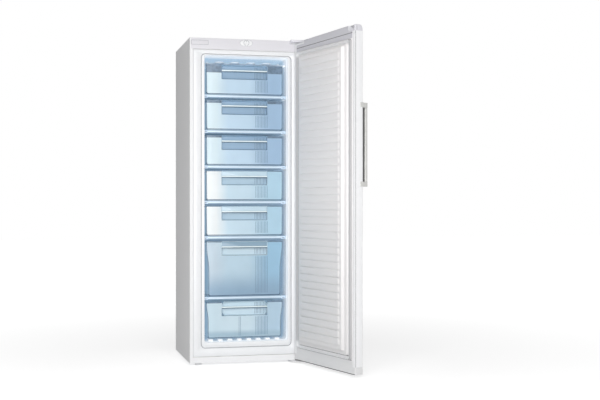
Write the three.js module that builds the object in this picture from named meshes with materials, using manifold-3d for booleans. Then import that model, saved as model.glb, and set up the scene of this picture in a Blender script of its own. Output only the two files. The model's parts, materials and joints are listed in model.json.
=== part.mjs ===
// An upright freezer with a ribbed door, seven drawers on evaporator shelves and a thermostat dial.
// Millimetres. X runs to the right, Y from the door to the back, Z up. The pieces are drawn from the
// cabinet's front face and centre plane, with the floor at zero. The finished group is then moved so
// that its origin lies on the floor, in the middle of its bounding box with the door open.
import * as THREE from 'three';
import { mergeVertices } from 'three/addons/utils/BufferGeometryUtils.js';
import Module from 'manifold-3d';

// Clearances and sheet
const SEAT = 0.3; // between a piece and what carries it
const SHEET = 1; // painted steel of the case and the door
const SKIN = 1.5; // vacuum formed plastic of the two liners
const MOULDED = 2; // injection moulded walls of the drawers

// Cabinet walls and cavity
const OPENING_WIDTH = 444;
const OPENING_RADIUS = 14;
const CAVITY_DEPTH = 465;
const SIDE_WALL = 78;
const TOP_WALL = 89;
const FLOOR_WALL = 106;
const BACK_WALL = 65;
const CONDENSER_RECESS = 32;
const FLOOR_GAP = 12;
const FRONT_HEM = 17; // front flange of a side panel
const REAR_HEM = 12;
const TOP_HEM = 14; // rear edge of the top panel, folded down
const RIM_OUTSET = 15; // step line around the opening
const RIM_DEPTH = 2.5;
const RIM_RADIUS = 20;
const FASCIA_HEIGHT = 57;
const FASCIA_THICKNESS = 3;
const PLINTH_HEIGHT = 31;
const PLINTH_THICKNESS = 1.5;
const PAN_FRONT_HEM = 26;
const PAN_REAR_HEM = 34;

// Shelves and drawers, stacked from the cavity floor
const SMALL_DRAWERS = 5;
const SMALL_PITCH = 186;
const LARGE_PITCH = 318;
const BOTTOM_PITCH = 222;
const TOP_SPACE = 11;
const FLOOR_RIB = 12;
const FLOOR_RIB_COUNT = 9;
const FLOOR_RIB_WIDTH = 8;
const TRIM_HEIGHT = 20;
const TRIM_DEPTH = 18;
const TRIM_SETBACK = 55;
const TRIM_END = 26;
const TRIM_END_PROUD = 2;
const LEDGE_WIDTH = 9;
const LEDGE_HEIGHT = 8;
const LEDGE_START = 80;
const TUBE_RADIUS = 4;
const TUBE_PASSES = 10;
const TUBE_PITCH = 42.6;
const TUBE_START = 86;
const ROD_RADIUS = 2.5;
const ROD_WELD = 1; // depth that a cross rod is welded into the tube
const DRAWER_HEADROOM = 9;
const DRAWER_SIDE_GAP = 20;
const DRAWER_SETBACK = 58;
const DRAWER_BACK_GAP = 17;
const DRAWER_DRAFT = 5;
const DRAWER_RADIUS = 12;
const FRONT_THICKNESS = 3;
const TUB_INSET = 5;
const TUB_DROP = 12; // tub rim below the front's top edge
const GRIP_WIDTH = 244;
const GRIP_HEIGHT = 75;
const GRIP_DEPTH = 25;
const GRIP_BAR_DROP = 24;
const GRIP_BAR_HEIGHT = 10;
const GRIP_BAR_DEPTH = 12;

// Compressor compartment and refrigeration circuit
const COMPARTMENT_HEIGHT = 226;
const COMPARTMENT_DEPTH = 217;
const HUMP_WALL = 50;
const COMPRESSOR_RADIUS = 76;
const COMPRESSOR_HEIGHT = 158;
const COMPRESSOR_X = 90;
const COMPRESSOR_SHOULDER = 34;
const SEAM_WIDTH = 3;
const GROMMET_RADIUS = 9;
const GROMMET_HEIGHT = 12;
const RAIL_THICKNESS = 3;
const RAIL_LENGTH = 210;
const RAIL_DEPTH = 120;
const RELAY_SIZE = [46, 56, 72];
const DRIER_RADIUS = 10;
const DRIER_LENGTH = 100;
const CONDENSER_WIDTH = 460;
const CONDENSER_PITCH = 74;
const CONDENSER_PASSES = 17;
const CONDENSER_BASE = 70; // first pass above the compartment
const PIPE_RADIUS = 2.6;
const STRAP_SIZE = 3;
const CLIP_SIZE = 14;
const GLAND_RADIUS = 9;
const GLAND_BORE = 4;

// Door
const DOOR_GAP = 12;
const DOOR_THICKNESS = 45;
const DOOR_DROP = 4; // door's lower edge above the cabinet's
const DOOR_HEM = 21;
const DOOR_CORNER = 4;
const TOP_CAP_HEIGHT = 30;
const BOTTOM_CAP_HEIGHT = 36;
const CAP_WALL = 3;
const CROWN_DEPTH = 16; // rounding of the top cap's outer edge
const CROWN_HEIGHT = 26;
const OPEN_ANGLE = 105;
const HINGE_INSET = 20;
const HINGE_FORWARD = 33;
const PIN_RADIUS = 5;
const PIN_CLEARANCE = 0.4;
const HINGE_POCKET_LENGTH = 100;
const HINGE_POCKET_DEPTH = 16;
const HINGE_ARM_THICKNESS = 12;
const HINGE_ARM_WIDTH = 70;
const HINGE_ARM_REACH = 46;
const FOOT_BRACKET = 4;
const GASKET_OUTSET = 21;
const GASKET_WIDTH = 29;
const STEP_OUTSET = 20.5;
const STEP_RUN = 10.5;
const STEP_HEIGHT = 10;
const PLATEAU_INSET = 9;
const PLATEAU_RUN = 2;
const PLATEAU_HEIGHT = 25;
const PLATEAU_RADIUS = 30;
const RIB_PITCH = 36.8;
const RIB_HEIGHT = 4;
const RIB_MARGIN = 16;

// Handle
const HANDLE_BASE = 909; // above the cabinet's lower edge
const HANDLE_LENGTH = 406;
const HANDLE_INSET = 20;
const HANDLE_WIDTH = 22;
const HANDLE_GAP = 22.6;
const HANDLE_THICKNESS = 17.7;
const BRACKET_HEIGHT = 24;
const BRACKET_WRAP = 16;
const BRACKET_PLATE = 2;

// Thermostat and small trim
const BEZEL_WIDTH = 66;
const BEZEL_HEIGHT = 34;
const BEZEL_THICKNESS = 2.5;
const DIAL_OFFSET = -3;
const DIAL_DROP = 20; // dial's centre below the cabinet's top
const DIAL_RADIUS = 16.5;
const DIAL_DEPTH = 6.5;
const SHAFT_RADIUS = 3;
const THERMOSTAT_SIZE = [52, 30, 28];
const BLANK_SIZE = [87, 21];
const BLANK_INSET = 6; // from the side panel's hem

// Feet and rollers
const FOOT_RADIUS = 18;
const FOOT_PAD = 8.5;
const STUD_RADIUS = 5;
const STUD_LENGTH = 30;
const FOOT_INSET = 50; // foot and roller centres, from the side of the case
const FOOT_Y = 42;
const ROLLER_RADIUS = 15;
const ROLLER_WIDTH = 22;
const ROLLER_INSET = 42; // from the rear of the case
const AXLE_RADIUS = 3;
const EAR = 3;

// Derived levels and outlines
const BOTTOM = FLOOR_GAP;
const CAVITY_FLOOR = BOTTOM + FLOOR_WALL;
const FIRST_SEAT = CAVITY_FLOOR + FLOOR_RIB;
const STACK = BOTTOM_PITCH + LARGE_PITCH + SMALL_DRAWERS * SMALL_PITCH;
const CEILING = FIRST_SEAT + STACK + TOP_SPACE;
const TOP = CEILING + TOP_WALL;
const HALF_OPENING = OPENING_WIDTH / 2;
const HALF_WIDTH = HALF_OPENING + SIDE_WALL;
const BACK = CAVITY_DEPTH + BACK_WALL;
const REAR = BACK + CONDENSER_RECESS;
const HALF_FRONT = HALF_WIDTH - FRONT_HEM - SEAT;
const INNER_HALF = HALF_WIDTH - SHEET - SEAT;
const LINER_FRONT = RIM_DEPTH + SKIN;
const COMPARTMENT_FRONT = REAR - COMPARTMENT_DEPTH;
const COMPARTMENT_TOP = BOTTOM + COMPARTMENT_HEIGHT;
const HUMP_FRONT = COMPARTMENT_FRONT - HUMP_WALL;
const HUMP_TOP = COMPARTMENT_TOP + HUMP_WALL;
const PAN_TOP = BOTTOM + SHEET;
const FASCIA_BASE = TOP - SHEET - FASCIA_HEIGHT;
const PIN_X = HALF_WIDTH - HINGE_INSET;
const DOOR_INNER = HINGE_FORWARD - DOOR_GAP;
const DOOR_OUTER = DOOR_INNER - DOOR_THICKNESS;
const DOOR_EDGE = HINGE_INSET;
const DOOR_FREE = HINGE_INSET - 2 * HALF_WIDTH;
const DOOR_BOTTOM = BOTTOM + DOOR_DROP;
const COMPRESSOR_Y = (COMPARTMENT_FRONT + REAR) / 2;
const COMPRESSOR_BASE = PAN_TOP + SEAT + GROMMET_HEIGHT;
const CONDENSER_Y = BACK + SHEET + CONDENSER_RECESS / 2;
const CONDENSER_BOTTOM = COMPARTMENT_TOP + CONDENSER_BASE;
const DIAL_Z = TOP - DIAL_DROP;
const AXLE_Z = ROLLER_RADIUS;
const FOOT_X = HALF_WIDTH - FOOT_INSET;
const ROLLER_Y = REAR - ROLLER_INSET;
const ROUND_SIDES = 16;
const OUTLINE_STEPS = 4;
const BEND_STEPS = 3;
const OVERSHOOT = 5; // how far a cutting solid runs past the piece

const wasm = await Module();
wasm.setup();

// A closed geometry as a solid that can be joined and cut, and back again.
function solidOf(geometry) {
  const bare = geometry.index ? geometry.toNonIndexed() : geometry.clone();
  bare.deleteAttribute('normal');
  bare.deleteAttribute('uv');
  const merged = mergeVertices(bare, 1e-4);
  const vertProperties = merged.attributes.position.array;
  const triVerts = new Uint32Array(merged.index.array);
  return new wasm.Manifold(new wasm.Mesh({ numProp: 3, vertProperties, triVerts }));
}

function geometryOf(solid) {
  const mesh = solid.getMesh();
  const geometry = new THREE.BufferGeometry();
  geometry.setAttribute('position', new THREE.BufferAttribute(mesh.vertProperties, 3));
  geometry.setIndex(new THREE.BufferAttribute(mesh.triVerts, 1));
  const flat = geometry.toNonIndexed();
  flat.computeVertexNormals();
  return flat;
}

function join(geometries) {
  return geometryOf(geometries.map(solidOf).reduce((whole, next) => whole.add(next)));
}

function cut(body, tools) {
  return geometryOf(tools.map(solidOf).reduce((rest, tool) => rest.subtract(tool), solidOf(body)));
}

function block(x0, x1, y0, y1, z0, z1) {
  const box = new THREE.BoxGeometry(x1 - x0, y1 - y0, z1 - z0);
  return box.translate((x0 + x1) / 2, (y0 + y1) / 2, (z0 + z1) / 2);
}

const AXIS = {
  x: new THREE.Vector3(1, 0, 0),
  y: new THREE.Vector3(0, 1, 0),
  z: new THREE.Vector3(0, 0, 1),
};

function extrude(shape, depth) {
  return new THREE.ExtrudeGeometry(shape, { depth, bevelEnabled: false, curveSegments: OUTLINE_STEPS });
}

// A profile drawn in Y and Z, swept from x0 to x1.
function alongX(shape, x0, x1) {
  const turn = new THREE.Matrix4().makeBasis(AXIS.y, AXIS.z, AXIS.x);
  return extrude(shape, x1 - x0).applyMatrix4(turn).translate(x0, 0, 0);
}

// An outline drawn in X and Z, swept from y0 to y1.
function alongY(shape, y0, y1) {
  const turn = new THREE.Matrix4().makeBasis(AXIS.x, AXIS.z, AXIS.y.clone().negate());
  return extrude(shape, y1 - y0).applyMatrix4(turn).translate(0, y1, 0);
}

// An outline drawn in X and Y, swept from z0 to z1.
function alongZ(shape, z0, z1) {
  return extrude(shape, z1 - z0).translate(0, 0, z0);
}

function polygon(points) {
  return new THREE.Shape(points.map(([a, b]) => new THREE.Vector2(a, b)));
}

function roundedRect({ x0, x1, z0, z1 }, radius) {
  const shape = new THREE.Shape();
  shape.absarc(x1 - radius, z0 + radius, radius, -Math.PI / 2, 0, false);
  shape.absarc(x1 - radius, z1 - radius, radius, 0, Math.PI / 2, false);
  shape.absarc(x0 + radius, z1 - radius, radius, Math.PI / 2, Math.PI, false);
  shape.absarc(x0 + radius, z0 + radius, radius, Math.PI, Math.PI * 1.5, false);
  return shape;
}

function grow({ x0, x1, z0, z1 }, by) {
  return { x0: x0 - by, x1: x1 + by, z0: z0 - by, z1: z1 + by };
}

// A bent sheet: the line of its outer face, thickened to the left of travel with mitred bends.
function foldedSheet(points, thickness) {
  const line = points.map(([a, b]) => new THREE.Vector2(a, b));
  const inner = line.map((point, i) => {
    const before = line[Math.max(i, 1)].clone().sub(line[Math.max(i, 1) - 1]).normalize();
    const last = Math.min(i, line.length - 2);
    const after = line[last + 1].clone().sub(line[last]).normalize();
    const mitre = thickness / (1 + before.dot(after));
    return new THREE.Vector2(-before.y - after.y, before.x + after.x).multiplyScalar(mitre).add(point);
  });
  return new THREE.Shape([...line, ...inner.reverse()]);
}

// A tapered block between two rounded rectangles of X and Z, the first at y0 and the second at y1.
function frustum(first, y0, second, y1, radius) {
  const near = roundedRect(first, radius).getPoints(OUTLINE_STEPS);
  const far = roundedRect(second, radius).getPoints(OUTLINE_STEPS);
  const unique = (points) => points.filter((p, i) => i === 0 || p.distanceTo(points[i - 1]) > 1e-6);
  const open = (points) => (points[0].distanceTo(points.at(-1)) < 1e-6 ? points.slice(0, -1) : points);
  const a = open(unique(near));
  const b = open(unique(far));
  const count = a.length;
  const positions = [...a.map((p) => [p.x, y0, p.y]), ...b.map((p) => [p.x, y1, p.y])].flat();
  const faces = [];
  for (let i = 0; i < count; i += 1) {
    const next = (i + 1) % count;
    faces.push(i, next, i + count, next, next + count, i + count);
    if (i > 0 && i < count - 1) {
      faces.push(0, i + 1, i, count, count + i, count + i + 1);
    }
  }
  if (y1 > y0) {
    faces.reverse();
  }
  const geometry = new THREE.BufferGeometry();
  geometry.setAttribute('position', new THREE.Float32BufferAttribute(positions, 3));
  geometry.setIndex(faces);
  return geometry;
}

// A round bar along one axis, from one place to another on it.
function bar(axis, radius, centre, from, to, sides = ROUND_SIDES) {
  const cylinder = new THREE.CylinderGeometry(radius, radius, to - from, sides);
  cylinder.translate(0, (from + to) / 2, 0);
  if (axis === 'z') {
    return cylinder.rotateX(Math.PI / 2).translate(centre[0], centre[1], 0);
  }
  if (axis === 'x') {
    return cylinder.rotateZ(-Math.PI / 2).translate(0, centre[0], centre[1]);
  }
  return cylinder.translate(centre[0], 0, centre[1]);
}

// The middle line of a bent pipe, with one step for each of its points.
class PipeLine extends THREE.Curve {
  constructor(points) {
    super();
    this.points = points.map((p) => new THREE.Vector3(...p));
  }

  getPoint(t) {
    const place = t * (this.points.length - 1);
    const i = Math.min(Math.floor(place), this.points.length - 2);
    return this.points[i].clone().lerp(this.points[i + 1], place - i);
  }

  getPointAt(u) {
    return this.getPoint(u);
  }

  getTangentAt(u) {
    const last = this.points.length - 1;
    const i = Math.round(u * last);
    const before = this.points[Math.max(i, 1)].clone().sub(this.points[Math.max(i, 1) - 1]).normalize();
    const from = Math.min(i, last - 1);
    const after = this.points[from + 1].clone().sub(this.points[from]).normalize();
    return before.add(after).normalize();
  }
}

function pipe(points, radius, sides = 5) {
  const section = new THREE.Shape();
  for (let i = 0; i < sides; i += 1) {
    const angle = (2 * Math.PI * i) / sides;
    section[i ? 'lineTo' : 'moveTo'](radius * Math.cos(angle), radius * Math.sin(angle));
  }
  const extrudePath = new PipeLine(points);
  return new THREE.ExtrudeGeometry(section, { steps: points.length - 1, extrudePath });
}

// Points of a serpentine whose straight passes run between low and high, in its own two axes.
function serpentine(passes, pitch, low, high) {
  const points = [];
  const radius = pitch / 2;
  for (let pass = 0; pass < passes; pass += 1) {
    const across = (pass - (passes - 1) / 2) * pitch;
    const up = pass % 2 === 0;
    points.push([across, up ? low + radius : high - radius]);
    points.push([across, up ? high - radius : low + radius]);
    for (let step = 1; step < BEND_STEPS && pass < passes - 1; step += 1) {
      const angle = Math.PI * (1 - step / BEND_STEPS);
      const rise = radius * Math.sin(angle);
      const end = up ? high - radius + rise : low + radius - rise;
      points.push([across + radius + radius * Math.cos(angle), end]);
    }
  }
  return points;
}

const freezer = new THREE.Group();

function material(color, roughness, metalness, opacity = 1) {
  return new THREE.MeshStandardMaterial({
    color, roughness, metalness, opacity, transparent: opacity < 1,
  });
}

const WHITE_STEEL = material(0xf1f2f4, 0.35, 0.1);
const WHITE_PLASTIC = material(0xf3f5f7, 0.45, 0);
const GREY_PLASTIC = material(0xdfdee3, 0.5, 0);
const CAP_PLASTIC = material(0xc4c3cb, 0.5, 0);
const ICE_PLASTIC = material(0xc1d5e8, 0.3, 0);
const CLEAR_BLUE = material(0xbcd9ec, 0.12, 0, 0.55);
const TUB_PLASTIC = material(0xe4eff6, 0.25, 0, 0.7);
const TUBE_WHITE = material(0xdde8f0, 0.4, 0.2);
const BLACK_PAINT = material(0x1c1d1f, 0.5, 0.3);
const GALVANISED = material(0xb9bcc0, 0.45, 0.8);
const COPPER = material(0xb8734a, 0.35, 0.9);
const BRUSHED = material(0xb4b4ae, 0.35, 0.85);
const RUBBER = material(0x35363a, 0.8, 0);
const SEAL_GREY = material(0xd6d7da, 0.7, 0);
const FOAM = material(0xe6dcb4, 0.9, 0);

function add(name, geometry, finish, parent = freezer) {
  const mesh = new THREE.Mesh(geometry, finish);
  mesh.name = name;
  parent.add(mesh);
  return mesh;
}

// Case -------------------------------------------------------------------------------------------

function sidePanel(side) {
  const outer = side * HALF_WIDTH;
  const line = [
    [outer - side * REAR_HEM, REAR],
    [outer, REAR],
    [outer, 0],
    [outer - side * FRONT_HEM, 0],
  ];
  const shape = foldedSheet(side < 0 ? line : line.reverse(), SHEET);
  return alongZ(shape, BOTTOM, TOP - SHEET - SEAT);
}

function topPanel() {
  const sheet = block(-HALF_WIDTH, HALF_WIDTH, 0, REAR, TOP - SHEET, TOP);
  const inner = REAR - SHEET - SEAT;
  const hem = block(-INNER_HALF, INNER_HALF, inner - SHEET, inner, TOP - TOP_HEM, TOP - SHEET / 2);
  return join([sheet, hem]);
}

function clipPlaces() {
  const places = [];
  const top = CONDENSER_BOTTOM + (CONDENSER_PASSES - 1) * CONDENSER_PITCH;
  for (const z of [CONDENSER_BOTTOM, (CONDENSER_BOTTOM + top) / 2, top]) {
    places.push([-CONDENSER_WIDTH / 4, z], [CONDENSER_WIDTH / 4, z]);
  }
  return places;
}

// The back sheet runs down to the compartment, forward over it and down its front wall.
function backPanel() {
  const line = [
    [BACK, TOP - SHEET - SEAT],
    [BACK, COMPARTMENT_TOP - SEAT],
    [COMPARTMENT_FRONT + SEAT, COMPARTMENT_TOP - SEAT],
    [COMPARTMENT_FRONT + SEAT, PAN_TOP + SEAT],
  ];
  const sheet = alongX(foldedSheet(line, SHEET), -INNER_HALF, INNER_HALF);
  const reach = CONDENSER_Y - PIPE_RADIUS - SEAT;
  const clips = clipPlaces().map(([x, z]) =>
    block(x, x + CLIP_SIZE, BACK, reach, z - CLIP_SIZE / 2, z + CLIP_SIZE / 2));
  return join([sheet, ...clips]);
}

function cavityRect() {
  return { x0: -HALF_OPENING, x1: HALF_OPENING, z0: CAVITY_FLOOR, z1: CEILING };
}

// The cavity's space, grown by the given wall, with the hump over the compressor left out.
function cavitySpace(wall, front) {
  const space = alongY(roundedRect(grow(cavityRect(), wall), OPENING_RADIUS + wall), front, CAVITY_DEPTH + wall);
  const far = HALF_OPENING + wall + OVERSHOOT;
  const base = CAVITY_FLOOR - wall - OVERSHOOT;
  const deep = CAVITY_DEPTH + wall + OVERSHOOT;
  const hump = block(-far, far, HUMP_FRONT + wall, deep, base, HUMP_TOP - wall);
  return cut(space, [hump]);
}

function shelfLevels() {
  const levels = [];
  for (let i = 0; i < SMALL_DRAWERS; i += 1) {
    levels.unshift(FIRST_SEAT + BOTTOM_PITCH + LARGE_PITCH + i * SMALL_PITCH);
  }
  levels.push(FIRST_SEAT + BOTTOM_PITCH);
  return levels;
}

function topTubeLevel() {
  return CEILING - DRAWER_HEADROOM - TRIM_HEIGHT / 2;
}

function ledges() {
  const drop = 2 * TUBE_RADIUS + 2 * ROD_RADIUS - ROD_WELD + SEAT;
  const pieces = [];
  for (const level of [topTubeLevel(), ...shelfLevels()]) {
    for (const side of [-1, 1]) {
      const edges = [side * (HALF_OPENING + SKIN / 2), side * (HALF_OPENING - LEDGE_WIDTH)];
      edges.sort((a, b) => a - b);
      const z = level - drop;
      pieces.push(block(...edges, LEDGE_START, CAVITY_DEPTH - DRAWER_BACK_GAP, z - LEDGE_HEIGHT, z));
    }
  }
  return pieces;
}

function floorRibs() {
  const pieces = [];
  const pitch = (OPENING_WIDTH - 2 * DRAWER_SIDE_GAP - FLOOR_RIB_WIDTH) / FLOOR_RIB_COUNT;
  for (let i = 0; i < FLOOR_RIB_COUNT; i += 1) {
    const x = (i - (FLOOR_RIB_COUNT - 1) / 2) * pitch;
    const half = FLOOR_RIB_WIDTH / 2;
    const floor = CAVITY_FLOOR - SKIN / 2;
    pieces.push(block(x - half, x + half, TRIM_SETBACK, HUMP_FRONT - OVERSHOOT, floor, FIRST_SEAT));
  }
  return pieces;
}

function innerLiner() {
  const frame = { x0: -HALF_FRONT, x1: HALF_FRONT, z0: BOTTOM + PLINTH_HEIGHT + SEAT, z1: FASCIA_BASE - SEAT };
  const plate = alongY(roundedRect(frame, 1), 0, LINER_FRONT);
  const rim = alongY(roundedRect(grow(cavityRect(), RIM_OUTSET), RIM_RADIUS), -OVERSHOOT, RIM_DEPTH);
  const shell = cut(join([plate, cavitySpace(SKIN, SKIN)]), [rim, cavitySpace(0, -OVERSHOOT)]);
  return join([shell, ...ledges(), ...floorRibs()]);
}

function cabinetFoam() {
  const front = LINER_FRONT + SEAT;
  const base = PAN_TOP + SEAT;
  const whole = block(-INNER_HALF, INNER_HALF, front, BACK - SEAT, base, TOP - SHEET - SEAT);
  const wide = HALF_WIDTH + OVERSHOOT;
  const compartment = block(-wide, wide, COMPARTMENT_FRONT, REAR, 0, COMPARTMENT_TOP);
  const control = block(-BEZEL_WIDTH, BEZEL_WIDTH, 0, THERMOSTAT_SIZE[1] * 2, FASCIA_BASE + SEAT, TOP);
  const studs = [-1, 1].map((side) =>
    bar('z', STUD_RADIUS * 2, [side * FOOT_X, FOOT_Y], 0, BOTTOM + STUD_LENGTH + OVERSHOOT, 8));
  return cut(whole, [cavitySpace(SKIN + SEAT, 0), compartment, control, ...studs]);
}

function controlFascia() {
  const plate = block(-HALF_FRONT, HALF_FRONT, 0, FASCIA_THICKNESS, FASCIA_BASE, TOP - SHEET - SEAT);
  const hole = bar('y', SHAFT_RADIUS * 2, [DIAL_OFFSET, DIAL_Z], -OVERSHOOT, OVERSHOOT);
  return cut(plate, [hole]);
}

function plinth() {
  return block(-HALF_FRONT, HALF_FRONT, 0, PLINTH_THICKNESS, BOTTOM, BOTTOM + PLINTH_HEIGHT);
}

function basePan() {
  const front = PLINTH_THICKNESS + SEAT;
  const rear = REAR - SHEET - SEAT;
  const line = [
    [front, BOTTOM + PAN_FRONT_HEM],
    [front, BOTTOM],
    [rear, BOTTOM],
    [rear, BOTTOM + PAN_REAR_HEM],
  ];
  const pan = alongX(foldedSheet(line, SHEET), -INNER_HALF, INNER_HALF);
  const studHole = STUD_RADIUS + PIN_CLEARANCE;
  const holes = [-1, 1].map((side) => bar('z', studHole, [side * FOOT_X, FOOT_Y], 0, BOTTOM + OVERSHOOT));
  const half = ROLLER_WIDTH / 2 + 1;
  const slots = [-1, 1].map((side) => block(
    side * FOOT_X - half, side * FOOT_X + half,
    ROLLER_Y - ROLLER_RADIUS - 2, ROLLER_Y + ROLLER_RADIUS + 2, 0, PAN_TOP + 1,
  ));
  const gland = bar('y', GLAND_RADIUS + SEAT, [glandX(), glandZ()], rear - OVERSHOOT, REAR + OVERSHOOT);
  const ears = [-1, 1].flatMap((side) => [-half - EAR, half].map((x) => block(
    side * FOOT_X + x, side * FOOT_X + x + EAR,
    ROLLER_Y - 2 * EAR, ROLLER_Y + 2 * EAR, BOTTOM, AXLE_Z + 3 * EAR,
  )));
  const bores = [-1, 1].map((side) => {
    const reach = half + 2 * EAR;
    return bar('x', AXLE_RADIUS + PIN_CLEARANCE, [ROLLER_Y, AXLE_Z], side * FOOT_X - reach, side * FOOT_X + reach);
  });
  return cut(join([cut(pan, [...holes, ...slots, gland]), ...ears]), bores);
}

function glandX() {
  return -HALF_WIDTH / 2;
}

function glandZ() {
  return BOTTOM + PAN_REAR_HEM / 2;
}

function cordGland() {
  const flange = 3;
  const inner = REAR - 2 * SHEET - SEAT - flange;
  const outer = REAR - SEAT - SHEET / 2;
  const points = [
    [GLAND_BORE, 0],
    [GLAND_RADIUS + 3, 0],
    [GLAND_RADIUS + 3, flange - SEAT],
    [GLAND_RADIUS, flange - SEAT],
    [GLAND_RADIUS, outer - inner],
    [GLAND_BORE, outer - inner],
    [GLAND_BORE, 0],
  ].map(([r, y]) => new THREE.Vector2(r, y));
  const ring = new THREE.LatheGeometry(points, ROUND_SIDES);
  return ring.translate(glandX(), inner, glandZ());
}

// Controls and small trim ------------------------------------------------------------------------

function thermostatBezel() {
  const ellipse = new THREE.Shape();
  ellipse.absellipse(DIAL_OFFSET, DIAL_Z, BEZEL_WIDTH / 2, BEZEL_HEIGHT / 2, 0, Math.PI * 2, false, 0);
  const hole = bar('y', SHAFT_RADIUS + PIN_CLEARANCE, [DIAL_OFFSET, DIAL_Z], -BEZEL_THICKNESS * 2, OVERSHOOT);
  const plate = new THREE.ExtrudeGeometry(ellipse, {
    depth: BEZEL_THICKNESS - SEAT, bevelEnabled: false, curveSegments: 24,
  });
  const turn = new THREE.Matrix4().makeBasis(AXIS.x, AXIS.z, AXIS.y.clone().negate());
  return cut(plate.applyMatrix4(turn).translate(0, -SEAT, 0), [hole]);
}

function thermostatBody() {
  const [width, depth, height] = THERMOSTAT_SIZE;
  const front = FASCIA_THICKNESS + SEAT;
  const half = width / 2;
  const z = DIAL_Z - height / 2 - SEAT;
  const box = block(DIAL_OFFSET - half, DIAL_OFFSET + half, front, front + depth, z, z + height);
  const shaft = bar('y', SHAFT_RADIUS, [DIAL_OFFSET, DIAL_Z], -BEZEL_THICKNESS, front + OVERSHOOT, 12);
  return join([box, shaft]);
}

function thermostatKnob() {
  const rear = -BEZEL_THICKNESS - SEAT;
  const front = rear - DIAL_DEPTH;
  const skirt = bar('y', DIAL_RADIUS, [0, 0], rear - DIAL_DEPTH / 2, rear, 28);
  const grip = block(-DIAL_RADIUS / 5, DIAL_RADIUS / 5, front, rear - 1, -DIAL_RADIUS + 2, DIAL_RADIUS - 2);
  return join([skirt, grip]).translate(DIAL_OFFSET, 0, DIAL_Z);
}

function blankingPlate() {
  const [width, height] = BLANK_SIZE;
  const x = -HALF_FRONT + BLANK_INSET;
  const z = DIAL_Z - height / 2;
  return alongY(roundedRect({ x0: x, x1: x + width, z0: z, z1: z + height }, 2), -2, -SEAT);
}

// Hinges -----------------------------------------------------------------------------------------

function topHinge() {
  const x1 = HALF_WIDTH - 1;
  const x0 = HALF_WIDTH - HINGE_ARM_WIDTH;
  const arm = block(x0, x1, -HINGE_ARM_REACH, -SEAT, TOP - HINGE_ARM_THICKNESS, TOP);
  const floor = TOP - TOP_CAP_HEIGHT;
  const pin = bar('z', PIN_RADIUS, [PIN_X, -HINGE_FORWARD], floor + 1, TOP - 1);
  return join([arm, pin]);
}

function bottomHinge() {
  const top = BOTTOM - SEAT;
  const base = top - FOOT_BRACKET;
  const plate = block(PIN_X - 45, HALF_WIDTH - 2, -HINGE_FORWARD - 12, 70, base, top);
  const boss = bar('z', PIN_RADIUS + 4, [PIN_X, -HINGE_FORWARD], base + 1, DOOR_BOTTOM - SEAT);
  const pin = bar('z', PIN_RADIUS, [PIN_X, -HINGE_FORWARD], base + 1, DOOR_BOTTOM + BOTTOM_CAP_HEIGHT / 2);
  const relief = bar('z', FOOT_RADIUS + 2, [FOOT_X, FOOT_Y], 0, BOTTOM);
  return cut(join([plate, boss, pin]), [relief]);
}

// Cooling ----------------------------------------------------------------------------------------

// One wire-on-tube shelf: a serpentine tube whose upper face is at the given level, on cross rods.
function evaporator(level) {
  const z = level - TUBE_RADIUS;
  const back = CAVITY_DEPTH - DRAWER_BACK_GAP;
  const points = serpentine(TUBE_PASSES, TUBE_PITCH, TUBE_START, back).map(([x, y]) => [x, y, z]);
  const rodZ = level - 2 * TUBE_RADIUS + ROD_WELD - ROD_RADIUS;
  const reach = HALF_OPENING - SEAT * 2;
  const inset = TUBE_PITCH * 0.7;
  const rods = [TUBE_START + inset, back - inset].map((y) => bar('x', ROD_RADIUS, [y, rodZ], -reach, reach, 6));
  return join([pipe(points, TUBE_RADIUS), ...rods]);
}

function shelfTrim(level) {
  const half = HALF_OPENING - SEAT;
  const front = TRIM_SETBACK;
  const back = TRIM_SETBACK + TRIM_DEPTH;
  const line = [[back, level], [front, level], [front, level - TRIM_HEIGHT], [back - 6, level - TRIM_HEIGHT]];
  const rail = alongX(foldedSheet(line, MOULDED), -half, half);
  const ends = [-1, 1].map((side) => {
    const edges = [side * half, side * (half - TRIM_END)].sort((a, b) => a - b);
    return block(...edges, front - TRIM_END_PROUD, back + 4, level - TRIM_HEIGHT, level);
  });
  return join([rail, ...ends]);
}

function condenser() {
  const high = CONDENSER_WIDTH / 2;
  const rows = serpentine(CONDENSER_PASSES, CONDENSER_PITCH, -high, high);
  const middle = CONDENSER_BOTTOM + ((CONDENSER_PASSES - 1) * CONDENSER_PITCH) / 2;
  const coil = rows.map(([across, along]) => [-along, CONDENSER_Y, middle + across]);
  const aside = high + 30;
  const lastZ = coil.at(-1)[2];
  const inlet = [
    [COMPRESSOR_X + COMPRESSOR_RADIUS + 30, COMPRESSOR_Y + 30, COMPRESSOR_BASE + 90],
    [COMPRESSOR_X + COMPRESSOR_RADIUS + 30, COMPRESSOR_Y + 30, COMPARTMENT_TOP - 30],
    [COMPRESSOR_X + COMPRESSOR_RADIUS + 30, CONDENSER_Y, COMPARTMENT_TOP - 10],
    [aside, CONDENSER_Y, COMPARTMENT_TOP + 10],
    [aside, CONDENSER_Y, CONDENSER_BOTTOM - 8],
    [aside - 8, CONDENSER_Y, CONDENSER_BOTTOM],
  ];
  const outlet = [
    [-aside + 8, CONDENSER_Y, lastZ],
    [-aside, CONDENSER_Y, lastZ - 8],
    [-aside, CONDENSER_Y, COMPARTMENT_TOP + 10],
    [-aside + 40, CONDENSER_Y, COMPARTMENT_TOP - 10],
    [-aside + 40, CONDENSER_Y, drierTop() + SEAT],
  ];
  const straps = [-1, 1].map((side) => {
    const x = side * CONDENSER_WIDTH / 3;
    const y = CONDENSER_Y + PIPE_RADIUS - 1;
    return block(x, x + STRAP_SIZE, y, y + STRAP_SIZE, CONDENSER_BOTTOM - 10, lastZ + 10);
  });
  return join([pipe([...inlet, ...coil, ...outlet], PIPE_RADIUS), ...straps]);
}

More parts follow.
